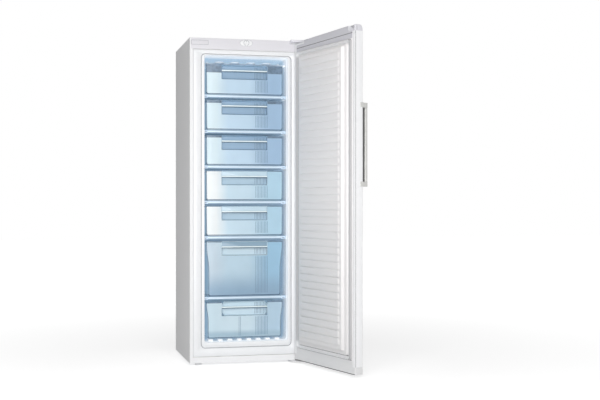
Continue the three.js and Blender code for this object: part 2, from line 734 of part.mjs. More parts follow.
function drierTop() {
  return COMPARTMENT_TOP - 40;
}

function filterDrier() {
  const end = 8;
  const low = drierTop() - DRIER_LENGTH;
  const points = [
    [0, 0],
    [PIPE_RADIUS, 0],
    [DRIER_RADIUS, end],
    [DRIER_RADIUS, DRIER_LENGTH - end],
    [PIPE_RADIUS, DRIER_LENGTH],
    [0, DRIER_LENGTH],
  ].map(([r, z]) => new THREE.Vector2(r, z));
  const can = new THREE.LatheGeometry(points, 12).rotateX(Math.PI / 2);
  return can.translate(-CONDENSER_WIDTH / 2 + 10, CONDENSER_Y, low);
}

function compressor() {
  const shoulder = COMPRESSOR_SHOULDER;
  const inner = COMPRESSOR_RADIUS - shoulder;
  const quarter = [0, 1, 2, 3].map((i) => (Math.PI / 6) * i);
  const lower = quarter.map((a) => [inner + shoulder * Math.sin(a), shoulder * (1 - Math.cos(a))]);
  const upper = lower.map(([r, z]) => [r, COMPRESSOR_HEIGHT - z]).reverse();
  const profile = [[0, 0], ...lower, ...upper, [0, COMPRESSOR_HEIGHT]];
  const points = profile.map(([r, z]) => new THREE.Vector2(r, z));
  const can = new THREE.LatheGeometry(points, 20).rotateX(Math.PI / 2);
  can.translate(COMPRESSOR_X, COMPRESSOR_Y, COMPRESSOR_BASE);
  const middle = COMPRESSOR_BASE + COMPRESSOR_HEIGHT / 2;
  const centre = [COMPRESSOR_X, COMPRESSOR_Y];
  const seam = bar('z', COMPRESSOR_RADIUS + SEAM_WIDTH, centre, middle, middle + SEAM_WIDTH, 20);
  const halfRail = RAIL_LENGTH / 2;
  const halfDepth = RAIL_DEPTH / 2;
  const rail = block(COMPRESSOR_X - halfRail, COMPRESSOR_X + halfRail, COMPRESSOR_Y - halfDepth,
    COMPRESSOR_Y + halfDepth, COMPRESSOR_BASE, COMPRESSOR_BASE + RAIL_THICKNESS);
  const grommets = [-1, 1].flatMap((i) => [-1, 1].map((j) => bar('z', GROMMET_RADIUS, [
    COMPRESSOR_X + i * (halfRail - GROMMET_RADIUS - 3), COMPRESSOR_Y + j * (halfDepth - GROMMET_RADIUS - 3),
  ], PAN_TOP + SEAT, COMPRESSOR_BASE + 2 * RAIL_THICKNESS, 8)));
  return join([can, seam, rail, ...grommets]);
}

function startRelay() {
  const [width, depth, height] = RELAY_SIZE;
  const x1 = COMPRESSOR_X - COMPRESSOR_RADIUS - SEAT;
  const z = COMPRESSOR_BASE + COMPRESSOR_HEIGHT / 2 - SEAT;
  const y0 = COMPRESSOR_Y - depth / 2;
  return block(x1 - width, x1, y0, y0 + depth, z - height, z);
}

// Drawers ----------------------------------------------------------------------------------------

// A six-sided block whose lower face is narrower than its upper one by the draft on each side.
function tapered(halfTop, draft, y0, y1, z0, z1) {
  const shape = polygon([[-halfTop + draft, z0], [halfTop - draft, z0], [halfTop, z1], [-halfTop, z1]]);
  return alongY(shape, y0, y1);
}

function drawerTub(seat, height, back) {
  const front = DRAWER_SETBACK + FRONT_THICKNESS + SEAT;
  const half = HALF_OPENING - DRAWER_SIDE_GAP - TUB_INSET;
  const base = seat + SEAT;
  const rim = seat + height - TUB_DROP;
  const outer = tapered(half, DRAWER_DRAFT, front, back, base, rim);
  const inner = tapered(half - MOULDED, DRAWER_DRAFT, front - OVERSHOOT, back - MOULDED, base + MOULDED, rim + SEAT);
  return cut(outer, [inner]);
}

function frontOutline(half, base, top) {
  const shape = new THREE.Shape();
  const low = half - DRAWER_DRAFT;
  shape.moveTo(-half, top);
  shape.lineTo(-low, base + DRAWER_RADIUS);
  shape.absarc(-low + DRAWER_RADIUS, base + DRAWER_RADIUS, DRAWER_RADIUS, Math.PI, Math.PI * 1.5, false);
  shape.absarc(low - DRAWER_RADIUS, base + DRAWER_RADIUS, DRAWER_RADIUS, -Math.PI / 2, 0, false);
  shape.lineTo(half, top);
  return shape;
}

function drawerFront(seat, height) {
  const half = HALF_OPENING - DRAWER_SIDE_GAP;
  const top = seat + height;
  const face = DRAWER_SETBACK;
  const plate = alongY(frontOutline(half, seat + SEAT * 2, top), face, face + FRONT_THICKNESS);
  const wide = GRIP_WIDTH / 2;
  const low = top - GRIP_HEIGHT;
  const deep = face + GRIP_DEPTH;
  const shell = MOULDED;
  const box = block(-wide - shell, wide + shell, face, deep + shell, low - shell, top);
  const hollow = block(-wide, wide, face - OVERSHOOT, deep, low, top - shell);
  const barTop = top - GRIP_BAR_DROP;
  const grip = block(-wide - 1, wide + 1, face, face + GRIP_BAR_DEPTH, barTop - GRIP_BAR_HEIGHT, barTop);
  return join([cut(join([plate, box]), [hollow]), grip]);
}

// Door, drawn closed and from its hinge pin ------------------------------------------------------

function openingFromPin(outset) {
  const rect = grow(cavityRect(), outset);
  return { x0: rect.x0 - PIN_X, x1: rect.x1 - PIN_X, z0: rect.z0, z1: rect.z1 };
}

function doorPanel() {
  const line = [
    [DOOR_FREE + DOOR_HEM, DOOR_INNER],
    [DOOR_FREE, DOOR_INNER],
    [DOOR_FREE, DOOR_OUTER + DOOR_CORNER],
    [DOOR_FREE + DOOR_CORNER, DOOR_OUTER],
    [DOOR_EDGE - DOOR_CORNER, DOOR_OUTER],
    [DOOR_EDGE, DOOR_OUTER + DOOR_CORNER],
    [DOOR_EDGE, DOOR_INNER],
    [DOOR_EDGE - DOOR_HEM, DOOR_INNER],
  ];
  return alongZ(foldedSheet(line, SHEET), DOOR_BOTTOM + BOTTOM_CAP_HEIGHT + SEAT, TOP - TOP_CAP_HEIGHT - SEAT);
}

// The stepped form of the door liner, shrunk by the given wall.
function linerForm(wall) {
  const base = DOOR_INNER - SKIN - (wall ? OVERSHOOT : 0);
  const step = DOOR_INNER + STEP_HEIGHT - wall;
  const plateau = DOOR_INNER + PLATEAU_HEIGHT - wall;
  const radius = PLATEAU_RADIUS - wall;
  const lower = frustum(openingFromPin(STEP_OUTSET - wall), base,
    openingFromPin(STEP_OUTSET - STEP_RUN - wall), step, radius);
  const upper = frustum(openingFromPin(-PLATEAU_INSET - wall), base,
    openingFromPin(-PLATEAU_INSET - PLATEAU_RUN - wall), plateau, radius);
  return join([lower, upper]);
}

function doorRibs() {
  const area = openingFromPin(-PLATEAU_INSET - PLATEAU_RUN - RIB_MARGIN);
  const face = DOOR_INNER + PLATEAU_HEIGHT;
  const count = Math.floor((area.z1 - area.z0) / RIB_PITCH);
  const start = (area.z0 + area.z1 - count * RIB_PITCH) / 2;
  const half = RIB_PITCH / 2 - SEAT;
  const ribs = [];
  for (let i = 0; i < count; i += 1) {
    const z = start + (i + 0.5) * RIB_PITCH;
    const crown = [-0.45, 0.45].map((share) => [face + RIB_HEIGHT, z + share * half]);
    const profile = polygon([[face - SKIN / 2, z - half], ...crown, [face - SKIN / 2, z + half]].reverse());
    ribs.push(alongX(profile, area.x0, area.x1));
  }
  return ribs;
}

function doorLiner() {
  const flange = {
    x0: DOOR_FREE + DOOR_HEM + SEAT,
    x1: DOOR_EDGE - DOOR_HEM - SEAT,
    z0: DOOR_BOTTOM + BOTTOM_CAP_HEIGHT + SEAT,
    z1: TOP - TOP_CAP_HEIGHT - SEAT,
  };
  const plate = alongY(roundedRect(flange, 1), DOOR_INNER - SKIN, DOOR_INNER);
  const shell = cut(join([plate, linerForm(0)]), [linerForm(SKIN)]);
  return join([shell, ...doorRibs()]);
}

function doorFoam() {
  const side = SHEET + SEAT;
  const back = DOOR_INNER - SKIN - SEAT;
  const core = block(
    DOOR_FREE + side + 1, DOOR_EDGE - side - 1, DOOR_OUTER + side, back,
    DOOR_BOTTOM + BOTTOM_CAP_HEIGHT + SEAT, TOP - TOP_CAP_HEIGHT - SEAT,
  );
  const corners = [DOOR_FREE, DOOR_EDGE].map((x) => block(
    x - DOOR_CORNER - 2, x + DOOR_CORNER + 2, DOOR_OUTER, DOOR_OUTER + DOOR_CORNER + 2, 0, TOP,
  ));
  const inset = SKIN + SEAT;
  const radius = PLATEAU_RADIUS - inset;
  const fill = frustum(openingFromPin(STEP_OUTSET - STEP_RUN - inset), back - 1,
    openingFromPin(STEP_OUTSET - STEP_RUN - inset), DOOR_INNER + STEP_HEIGHT - inset, radius);
  const plug = frustum(openingFromPin(-PLATEAU_INSET - PLATEAU_RUN - inset), back - 1,
    openingFromPin(-PLATEAU_INSET - PLATEAU_RUN - inset), DOOR_INNER + PLATEAU_HEIGHT - inset, radius);
  return join([cut(core, corners), fill, plug]);
}

function doorCapTop() {
  const low = TOP - TOP_CAP_HEIGHT;
  const profile = new THREE.Shape();
  profile.moveTo(DOOR_OUTER, low);
  profile.lineTo(DOOR_INNER, low);
  profile.lineTo(DOOR_INNER, TOP);
  const crownY = DOOR_OUTER + CROWN_DEPTH;
  profile.absellipse(crownY, TOP - CROWN_HEIGHT, CROWN_DEPTH, CROWN_HEIGHT, Math.PI / 2, Math.PI, false, 0);
  const body = alongX(profile, DOOR_FREE, DOOR_EDGE);
  const pocketStart = DOOR_EDGE - HINGE_POCKET_LENGTH;
  const hollow = block(DOOR_FREE + CAP_WALL, pocketStart - CAP_WALL, crownY,
    DOOR_INNER - CAP_WALL, low - 1, TOP - CAP_WALL);
  const pocket = block(pocketStart, DOOR_EDGE + 1, DOOR_OUTER - 1, DOOR_INNER + 1,
    TOP - HINGE_POCKET_DEPTH, TOP + 1);
  const bush = bar('z', PIN_RADIUS + PIN_CLEARANCE, [0, 0], low - 1, TOP);
  return cut(body, [hollow, pocket, bush]);
}

function doorCapBottom() {
  const high = DOOR_BOTTOM + BOTTOM_CAP_HEIGHT;
  const body = block(DOOR_FREE, DOOR_EDGE, DOOR_OUTER, DOOR_INNER, DOOR_BOTTOM, high);
  const solidEnd = 3 * HINGE_INSET;
  const hollow = block(DOOR_FREE + CAP_WALL, DOOR_EDGE - solidEnd, DOOR_OUTER + CAP_WALL,
    DOOR_INNER - CAP_WALL, DOOR_BOTTOM + CAP_WALL, high + 1);
  const bush = bar('z', PIN_RADIUS + PIN_CLEARANCE, [0, 0], DOOR_BOTTOM - 1, DOOR_BOTTOM + BOTTOM_CAP_HEIGHT / 2 + 1);
  return cut(body, [hollow, bush]);
}

function doorGasket() {
  const radius = 2;
  const outline = roundedRect(openingFromPin(GASKET_OUTSET + GASKET_WIDTH), radius);
  outline.holes.push(roundedRect(openingFromPin(GASKET_OUTSET), radius));
  return alongY(outline, DOOR_INNER + SEAT, HINGE_FORWARD - SEAT);
}

function handleBar() {
  const x0 = DOOR_FREE + HANDLE_INSET;
  const y1 = DOOR_OUTER - HANDLE_GAP;
  const base = BOTTOM + HANDLE_BASE;
  const section = roundedRect({ x0, x1: x0 + HANDLE_WIDTH, z0: y1 - HANDLE_THICKNESS, z1: y1 }, 4);
  return alongZ(section, base + BRACKET_HEIGHT + SEAT, base + HANDLE_LENGTH - BRACKET_HEIGHT - SEAT);
}

function handleBracket(base) {
  const side = DOOR_FREE - SEAT;
  const far = DOOR_FREE + HANDLE_INSET + HANDLE_WIDTH;
  const face = DOOR_OUTER - SEAT;
  const front = DOOR_OUTER - HANDLE_GAP - HANDLE_THICKNESS;
  const chamfer = 6;
  const outline = polygon([
    [side, DOOR_OUTER + BRACKET_WRAP],
    [side - BRACKET_PLATE, DOOR_OUTER + BRACKET_WRAP],
    [side - BRACKET_PLATE, front + chamfer],
    [side - BRACKET_PLATE + chamfer, front],
    [far - chamfer, front],
    [far, front + chamfer],
    [far, face],
    [side, face],
  ]);
  return alongZ(outline, base, base + BRACKET_HEIGHT);
}

// Feet and rollers -------------------------------------------------------------------------------

function foot(side) {
  const centre = [side * FOOT_X, FOOT_Y];
  const pad = bar('z', FOOT_RADIUS, centre, 0, FOOT_PAD, 24);
  const stud = bar('z', STUD_RADIUS, centre, FOOT_PAD - 1, BOTTOM + STUD_LENGTH, 12);
  return join([pad, stud]);
}

function roller(side) {
  const half = ROLLER_WIDTH / 2;
  const reach = half + 1 + EAR;
  const wheel = bar('x', ROLLER_RADIUS, [0, 0], -half, half, 24);
  const axle = bar('x', AXLE_RADIUS, [0, 0], -reach, reach, 12);
  return join([wheel, axle]).translate(side * FOOT_X, ROLLER_Y, AXLE_Z);
}

// Assembly ---------------------------------------------------------------------------------------

function addCabinet() {
  add('side_panel_left', sidePanel(-1), WHITE_STEEL);
  add('side_panel_right', sidePanel(1), WHITE_STEEL);
  add('top_panel', topPanel(), WHITE_STEEL);
  add('back_panel', backPanel(), GALVANISED);
  add('cabinet_foam', cabinetFoam(), FOAM);
  add('inner_liner', innerLiner(), WHITE_PLASTIC);
  add('control_fascia', controlFascia(), GREY_PLASTIC);
  add('plinth', plinth(), WHITE_STEEL);
  add('base_pan', basePan(), GALVANISED);
  add('cord_gland', cordGland(), RUBBER);
  add('thermostat_bezel', thermostatBezel(), WHITE_PLASTIC);
  add('thermostat_body', thermostatBody(), BLACK_PAINT);
  add('thermostat_knob', thermostatKnob(), WHITE_PLASTIC);
  add('blanking_plate', blankingPlate(), GREY_PLASTIC);
  add('top_hinge', topHinge(), GREY_PLASTIC);
  add('bottom_hinge', bottomHinge(), GALVANISED);
}

function addCooling() {
  add('condenser', condenser(), BLACK_PAINT);
  add('compressor', compressor(), BLACK_PAINT);
  add('start_relay', startRelay(), WHITE_PLASTIC);
  add('filter_drier', filterDrier(), COPPER);
  add('evaporator_top', evaporator(topTubeLevel()), TUBE_WHITE);
  shelfLevels().forEach((level, i) => {
    add(`evaporator_shelf_${i + 1}`, evaporator(level), TUBE_WHITE);
    add(`shelf_trim_${i + 1}`, shelfTrim(level), ICE_PLASTIC);
  });
}

function addDrawers() {
  const seats = [...shelfLevels(), FIRST_SEAT];
  const pitches = [...Array(SMALL_DRAWERS).fill(SMALL_PITCH), LARGE_PITCH, BOTTOM_PITCH];
  seats.forEach((seat, i) => {
    const height = pitches[i] - TRIM_HEIGHT - DRAWER_HEADROOM;
    const back = (i === seats.length - 1 ? HUMP_FRONT : CAVITY_DEPTH) - DRAWER_BACK_GAP;
    add(`drawer_tub_${i + 1}`, drawerTub(seat, height, back), TUB_PLASTIC);
    add(`drawer_front_${i + 1}`, drawerFront(seat, height), CLEAR_BLUE);
  });
}

function addDoor() {
  const door = new THREE.Group();
  door.position.set(PIN_X, -HINGE_FORWARD, 0);
  door.rotation.z = THREE.MathUtils.degToRad(OPEN_ANGLE);
  freezer.add(door);
  add('door_panel', doorPanel(), WHITE_STEEL, door);
  add('door_liner', doorLiner(), WHITE_PLASTIC, door);
  add('door_foam', doorFoam(), FOAM, door);
  add('door_cap_top', doorCapTop(), CAP_PLASTIC, door);
  add('door_cap_bottom', doorCapBottom(), CAP_PLASTIC, door);
  add('door_gasket', doorGasket(), SEAL_GREY, door);
  add('handle_bar', handleBar(), BRUSHED, door);
  add('handle_bracket_bottom', handleBracket(BOTTOM + HANDLE_BASE), BRUSHED, door);
  const upper = BOTTOM + HANDLE_BASE + HANDLE_LENGTH - BRACKET_HEIGHT;
  add('handle_bracket_top', handleBracket(upper), BRUSHED, door);
}

function addFeet() {
  add('foot_left', foot(-1), RUBBER);
  add('foot_right', foot(1), RUBBER);
  add('roller_left', roller(-1), WHITE_PLASTIC);
  add('roller_right', roller(1), WHITE_PLASTIC);
}

addCabinet();
addCooling();
addDrawers();
addDoor();
addFeet();

freezer.updateMatrixWorld(true);
const bounds = new THREE.Box3().setFromObject(freezer, true);
const middle = bounds.getCenter(new THREE.Vector3());
freezer.position.set(-middle.x, -middle.y, -bounds.min.z);

export default freezer;
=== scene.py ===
import json
import math

import bmesh
import bpy
from mathutils import Matrix, Vector


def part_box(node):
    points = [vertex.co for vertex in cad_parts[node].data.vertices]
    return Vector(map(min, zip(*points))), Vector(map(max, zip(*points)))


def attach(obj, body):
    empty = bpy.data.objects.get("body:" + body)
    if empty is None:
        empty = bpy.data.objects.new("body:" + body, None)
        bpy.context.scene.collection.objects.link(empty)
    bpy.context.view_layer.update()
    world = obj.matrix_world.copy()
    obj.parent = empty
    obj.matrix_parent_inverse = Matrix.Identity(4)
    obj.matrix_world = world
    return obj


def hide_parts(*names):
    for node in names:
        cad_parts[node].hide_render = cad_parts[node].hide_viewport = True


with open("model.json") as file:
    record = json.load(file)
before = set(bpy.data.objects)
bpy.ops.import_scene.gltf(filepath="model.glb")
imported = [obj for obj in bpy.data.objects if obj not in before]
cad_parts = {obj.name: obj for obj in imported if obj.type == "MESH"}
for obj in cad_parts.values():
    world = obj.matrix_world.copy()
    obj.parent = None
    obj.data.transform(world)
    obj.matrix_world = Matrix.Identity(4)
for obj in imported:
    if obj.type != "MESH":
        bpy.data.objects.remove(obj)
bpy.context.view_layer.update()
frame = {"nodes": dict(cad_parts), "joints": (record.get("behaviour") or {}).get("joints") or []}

# Camera and studio. The camera stands level, to the left of the freezer, and looks a little to the
# right. White surroundings light everything evenly, and one broad softbox stands in front, a little
# to the left, so that what faces the camera is white and what faces left is grey.
LENS_MM = 64.64
EYE_FROM_CASE = Vector((-1.08865, -5.54375, 0.83543))
CAMERA_YAW = 0.241
CAMERA_SHIFT = (0.0041, 0.0073)
AMBIENT = 0.3
SOFTBOX_SIZE = (2.4, 2.2)
SOFTBOX_FROM_CASE = Vector((-0.75, -3.3, 1.15))
SOFTBOX_AIM = Vector((0, 0, 0.9))
SOFTBOX_WATTS = 78
FLOOR_HALF = 20
FLOOR_COLOUR = (0.8, 0.8, 0.8, 1)
FLOOR_NEAR = 1.0
FLOOR_FAR = 3.5
FLOOR_GLOW_NEAR = 0.60
FLOOR_GLOW_FAR = 0.82

left_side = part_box("side_panel_left")
right_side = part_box("side_panel_right")
MID_X = (left_side[0][0] + right_side[1][0]) / 2
FRONT_Y = left_side[0][1]
REAR_Y = left_side[1][1]
HALF_CASE = (right_side[1][0] - left_side[0][0]) / 2


def add_object(name, data):
    """An object with the given data, in the scene."""
    made = bpy.data.objects.new(name, data)
    bpy.context.scene.collection.objects.link(made)
    return made


case_foot = Vector((MID_X, FRONT_Y, 0))
camera = add_object("camera", bpy.data.cameras.new("camera"))
camera.data.lens = LENS_MM
camera.data.shift_x, camera.data.shift_y = CAMERA_SHIFT
camera.location = case_foot + EYE_FROM_CASE
camera.rotation_euler = (math.pi / 2, 0, -CAMERA_YAW)
bpy.context.scene.camera = camera
bpy.context.scene.view_settings.view_transform = "Standard"

softbox = add_object("softbox", bpy.data.lights.new("softbox", "AREA"))
softbox.data.shape = "RECTANGLE"
softbox.data.size, softbox.data.size_y = SOFTBOX_SIZE
softbox.data.energy = SOFTBOX_WATTS
softbox.location = case_foot + SOFTBOX_FROM_CASE
softbox.rotation_euler = (SOFTBOX_FROM_CASE - SOFTBOX_AIM).to_track_quat("Z", "Y").to_euler()
softbox.visible_camera = False


def add_node(tree, kind, inputs, **settings):
    """A shader node with its inputs, given by name or number, and its settings."""
    node = tree.nodes.new(kind)
    for key, value in inputs.items():
        if isinstance(value, bpy.types.NodeSocket):
            tree.links.new(value, node.inputs[key])
        else:
            node.inputs[key].default_value = value
    for key, value in settings.items():
        setattr(node, key, value)
    return node


def arithmetic(tree, operation, *inputs):
    """The result of one sum with two or three numbers."""
    return add_node(tree, "ShaderNodeMath", dict(enumerate(inputs)), operation=operation).outputs[0]


def remap(tree, value, low=0.0, high=1.0, to_low=0.0, to_high=1.0, smooth=False):
    """A value carried over from one range to another, and held inside it."""
    inputs = {0: value, 1: low, 2: high, 3: to_low, 4: to_high}
    kind = "SMOOTHSTEP" if smooth else "LINEAR"
    return add_node(tree, "ShaderNodeMapRange", inputs, interpolation_type=kind).outputs[0]


def coordinates(tree, kind="Object"):
    """The place, or the direction, of the spot that is shaded."""
    return add_node(tree, "ShaderNodeTexCoord", {}).outputs[kind]


def seen_directly(tree):
    """1 for a ray from the camera, or one that has only met gloss or glass, and 0 for the rest."""
    rays = add_node(tree, "ShaderNodeLightPath", {}).outputs
    seen = arithmetic(tree, "MAXIMUM", rays["Is Camera Ray"], rays["Is Glossy Ray"])
    return arithmetic(tree, "MAXIMUM", seen, rays["Is Transmission Ray"])


world = bpy.data.worlds.new("studio")
bpy.context.scene.world = world
world.use_nodes = True
surroundings = world.node_tree
background = surroundings.nodes["Background"]
background.inputs["Color"].default_value = (1, 1, 1, 1)
level = remap(surroundings, seen_directly(surroundings), to_low=AMBIENT)
surroundings.links.new(level, background.inputs["Strength"])

floor_mesh = bpy.data.meshes.new("floor")
floor_corners = [(i * FLOOR_HALF, j * FLOOR_HALF, 0) for i, j in ((-1, -1), (1, -1), (1, 1), (-1, 1))]
floor_mesh.from_pydata(floor_corners, [], [(0, 1, 2, 3)])
floor = add_object("floor", floor_mesh)
floor_finish = bpy.data.materials.new("studio floor")
floor_finish.use_nodes = True
floor_tree = floor_finish.node_tree
floor_shader = floor_tree.nodes["Principled BSDF"]
floor_shader.inputs["Base Color"].default_value = FLOOR_COLOUR
floor_shader.inputs["Roughness"].default_value = 0.9
floor_shader.inputs["Specular IOR Level"].default_value = 0
floor_shader.inputs["Emission Color"].default_value = (1, 1, 1, 1)
away = add_node(floor_tree, "ShaderNodeVectorMath", {0: coordinates(floor_tree)}, operation="LENGTH")
farther = remap(floor_tree, away.outputs["Value"], FLOOR_NEAR, FLOOR_FAR, FLOOR_GLOW_NEAR, FLOOR_GLOW_FAR)
floor_glow = arithmetic(floor_tree, "MULTIPLY", seen_directly(floor_tree), farther)
floor_tree.links.new(floor_glow, floor_shader.inputs["Emission Strength"])
floor.data.materials.append(floor_finish)

# Case. Two side panels, a top panel and a plinth of painted steel sheet. Each side is one folded
# sheet whose hems turn in round the front and the rear, and the top lies on both sides.
SHEET = 0.001
BEND_RADIUS = 0.0026
FRONT_HEM = 0.017
REAR_HEM = 0.012
CASE_WHITE = (0.93, 0.932, 0.94)

grain = bpy.data.node_groups.new("surface grain", "ShaderNodeTree")
for label, kind, value in (("Colour", "Color", (1, 1, 1, 1)), ("Mottle", "Float", 0.03),
                           ("Patch size", "Float", 0.2), ("Grain size", "Float", 0.002),
                           ("Smoothest", "Float", 0.3), ("Roughest", "Float", 0.4)):
    grain.interface.new_socket(label, in_out="INPUT", socket_type=f"NodeSocket{kind}").default_value = value
for label, kind in (("Colour", "Color"), ("Roughness", "Float"), ("Height", "Float")):
    grain.interface.new_socket(label, in_out="OUTPUT", socket_type=f"NodeSocket{kind}")
given = grain.nodes.new("NodeGroupInput").outputs
result = grain.nodes.new("NodeGroupOutput").inputs
place = coordinates(grain)


def noise_of_size(size, detail):
    """Noise whose lumps are about as wide as the size, in metres."""
    inputs = {"Vector": place, "Scale": arithmetic(grain, "DIVIDE", 1.0, size), "Detail": detail}
    return add_node(grain, "ShaderNodeTexNoise", inputs).outputs[0]


patches = noise_of_size(given["Patch size"], 3.0)
fine = noise_of_size(given["Grain size"], 2.0)
darkest = arithmetic(grain, "SUBTRACT", 1.0, given["Mottle"])
shade = remap(grain, patches, 0.3, 0.7, darkest, 1.0)
tinted = add_node(grain, "ShaderNodeVectorMath", {0: given["Colour"], 3: shade}, operation="SCALE").outputs[0]
uneven = arithmetic(grain, "MULTIPLY_ADD", fine, 0.5, patches)
polish = remap(grain, uneven, 0.5, 1.0, given["Smoothest"], given["Roughest"])
grain.links.new(tinted, result["Colour"])
grain.links.new(polish, result["Roughness"])
grain.links.new(fine, result["Height"])


def coating(name, colour, smoothest, roughest, mottle=0.03, patch=0.2, grain_size=0.001, bump=0.1,
            metallic=0.0, gloss=0.5):
    """A finish with broad patches, fine grain and uneven polish, for paint, plastic or metal."""
    finish = bpy.data.materials.new(name)
    finish.use_nodes = True
    tree = finish.node_tree
    shader = tree.nodes["Principled BSDF"]
    texture = tree.nodes.new("ShaderNodeGroup")
    texture.node_tree = grain
    for label, value in (("Colour", (*colour, 1)), ("Mottle", mottle), ("Patch size", patch),
                         ("Grain size", grain_size), ("Smoothest", smoothest), ("Roughest", roughest)):
        texture.inputs[label].default_value = value
    relief = add_node(tree, "ShaderNodeBump",
                      {"Strength": bump, "Distance": 0.0002, "Height": texture.outputs["Height"]})
    tree.links.new(texture.outputs["Colour"], shader.inputs["Base Color"])
    tree.links.new(texture.outputs["Roughness"], shader.inputs["Roughness"])
    tree.links.new(relief.outputs[0], shader.inputs["Normal"])
    shader.inputs["Metallic"].default_value = metallic
    shader.inputs["Specular IOR Level"].default_value = gloss
    return finish


def bent_sheet(points, radius, thickness, steps=4):
    """The closed outline of a folded sheet: its outer line with round bends, thickened to the left."""
    line = [Vector(point) for point in points]
    outer = [(line[0], (line[1] - line[0]).normalized())]
    for before, corner, after in zip(line, line[1:], line[2:]):
        arriving = (corner - before).normalized()
        leaving = (after - corner).normalized()
        turn = arriving.angle_signed(leaving)
        start = corner - arriving * radius * math.tan(abs(turn) / 2)
        centre = start + Vector((-arriving.y, arriving.x)) * radius * (-1 if turn > 0 else 1)
        for step in range(steps + 1):
            spin = Matrix.Rotation(-turn * step / steps, 2)
            outer.append((centre + spin @ (start - centre), spin @ arriving))
    outer.append((line[-1], (line[-1] - line[-2]).normalized()))
    inner = [point + Vector((-way.y, way.x)) * thickness for point, way in outer]
    return [tuple(point) for point, way in outer] + [tuple(point) for point in reversed(inner)]


AXES = {"x": (2, 0, 1), "y": (0, 2, 1), "z": (0, 1, 2)}


def prism(outline, axis, low, high):
    """A closed outline swept along one axis. Along x it is drawn in y and z, along y in x and z."""
    count = len(outline)
    corners = [tuple((a, b, depth)[i] for i in AXES[axis]) for depth in (low, high) for a, b in outline]
    faces = [(i, (i + 1) % count, (i + 1) % count + count, i + count) for i in range(count)]
    return corners, faces + [tuple(range(count))[::-1], tuple(range(count, 2 * count))]


def soften_edges(made, width, steps):
    """Rounds the sharp edges of a piece."""
    rounding = made.modifiers.new("rounded edges", "BEVEL")
    rounding.width = width
    rounding.segments = steps
    rounding.limit_method = "ANGLE"
    rounding.angle_limit = math.radians(40)
    rounding.harden_normals = True


def assemble(name, shells, finishes, body, slot, replaced=(), sharp=32, turn=None, soften=0, steps=2):
    """One piece from closed shells: (corners, faces) with, if need be, a finish number or one per face."""
    corners, faces, marks = [], [], []
    for shell in shells:
        start = len(corners)
        corners += [Vector(corner) for corner in shell[0]]
        faces += [tuple(start + i for i in face) for face in shell[1]]
        mark = shell[2] if len(shell) > 2 else 0
        marks += mark if isinstance(mark, list) else [mark] * len(shell[1])
    mesh = bpy.data.meshes.new(name)
    mesh.from_pydata([turn @ corner for corner in corners] if turn else corners, [], faces)
    for finish in finishes:
        mesh.materials.append(finish)
    for polygon, mark in zip(mesh.polygons, marks):
        polygon.material_index = mark
    cleaned = bmesh.new()
    cleaned.from_mesh(mesh)
    bmesh.ops.remove_doubles(cleaned, verts=cleaned.verts, dist=1e-6)
    bmesh.ops.recalc_face_normals(cleaned, faces=cleaned.faces)
    cleaned.to_mesh(mesh)
    cleaned.free()
    mesh.shade_smooth()
    mesh.set_sharp_from_angle(angle=math.radians(sharp))
    made = add_object(name, mesh)
    if soften:
        soften_edges(made, soften, steps)
    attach(made, body)
    if replaced:
        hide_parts(*replaced)
    return made


enamel = coating("white enamel", CASE_WHITE, 0.4, 0.5, mottle=0.02, patch=0.35, grain_size=0.0025, bump=0.12,
                 gloss=0.05)

for side, node in ((-1, "side_panel_left"), (1, "side_panel_right")):
    low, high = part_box(node)
    outer = MID_X + side * HALF_CASE
    line = [(outer - side * REAR_HEM, REAR_Y), (outer, REAR_Y), (outer, FRONT_Y),
            (outer - side * FRONT_HEM, FRONT_Y)]
    folded = bent_sheet(line if side < 0 else line[::-1], BEND_RADIUS, SHEET)
    assemble(f"case_{node}", [prism(folded, "z", low[2], high[2])], [enamel], "cabinet", "case_white", [node])


def dress(node, finish, soften=0.0, steps=2):
    """A carried-over CAD piece gets its finish and softly broken edges."""
    made = frame["nodes"][node]
    made.data.materials.clear()
    made.data.materials.append(finish)
    if soften:
        soften_edges(made, soften, steps)


dress("top_panel", enamel, 0.0004)
dress("plinth", enamel, 0.0004)

# Back, base and insulation. The back sheet folds forward over the compressor and down in front of
# it, the base pan carries the whole case, and foam fills the walls between the skins.
ZINC = (0.5, 0.515, 0.535)
FOAM_CREAM = (0.84, 0.8, 0.69)

zinc_sheet = coating("zinc coated sheet", ZINC, 0.3, 0.5, mottle=0.16, patch=0.02, grain_size=0.006,
                     bump=0.08, metallic=0.85)
foam = coating("insulating foam", FOAM_CREAM, 0.85, 0.95, mottle=0.15, patch=0.03, grain_size=0.003, bump=0.9)
dress("back_panel", zinc_sheet, 0.0004)
dress("base_pan", zinc_sheet, 0.0004)
dress("cabinet_foam", foam)

# Controls above the cavity. A grey plastic fascia carries an oval bezel with a moulded scale, the
# thermostat's round knob with a raised grip, and a blanking plate over the unused hinge place.
FASCIA_GREY = (0.775, 0.765, 0.8)
PLASTIC_WHITE = (0.92, 0.925, 0.935)
PRINT_AND_SHADE_GREY = (0.34, 0.35, 0.38)
BLACK = (0.02, 0.021, 0.023)
SCALE_MARKS = 7
SCALE_SWEEP = math.radians(270)
SCALE_OVAL = (1.35, 0.86)
TICK_HALF = 0.0007
KNOB_RIM = 0.0018
KNOB_GROOVE = (0.88, 0.76)
SHADOW_GAP = 0.0012
FASCIA_OVERLAP = 0.0115
FASCIA_OVERLAP_RIGHT = 0.009
FASCIA_TUCK = 0.0006
FASCIA_BULGE = 0.0006
PLATE_ASIDE = -0.0145
PLATE_LOWER = -0.0045
ON_AXIS = 0.0001


def grained(name, colour, smoothest=0.38, roughest=0.5):
    """Plastic with a finely grained face."""
    return coating(name, colour, smoothest, roughest, grain_size=0.0012, bump=0.25)


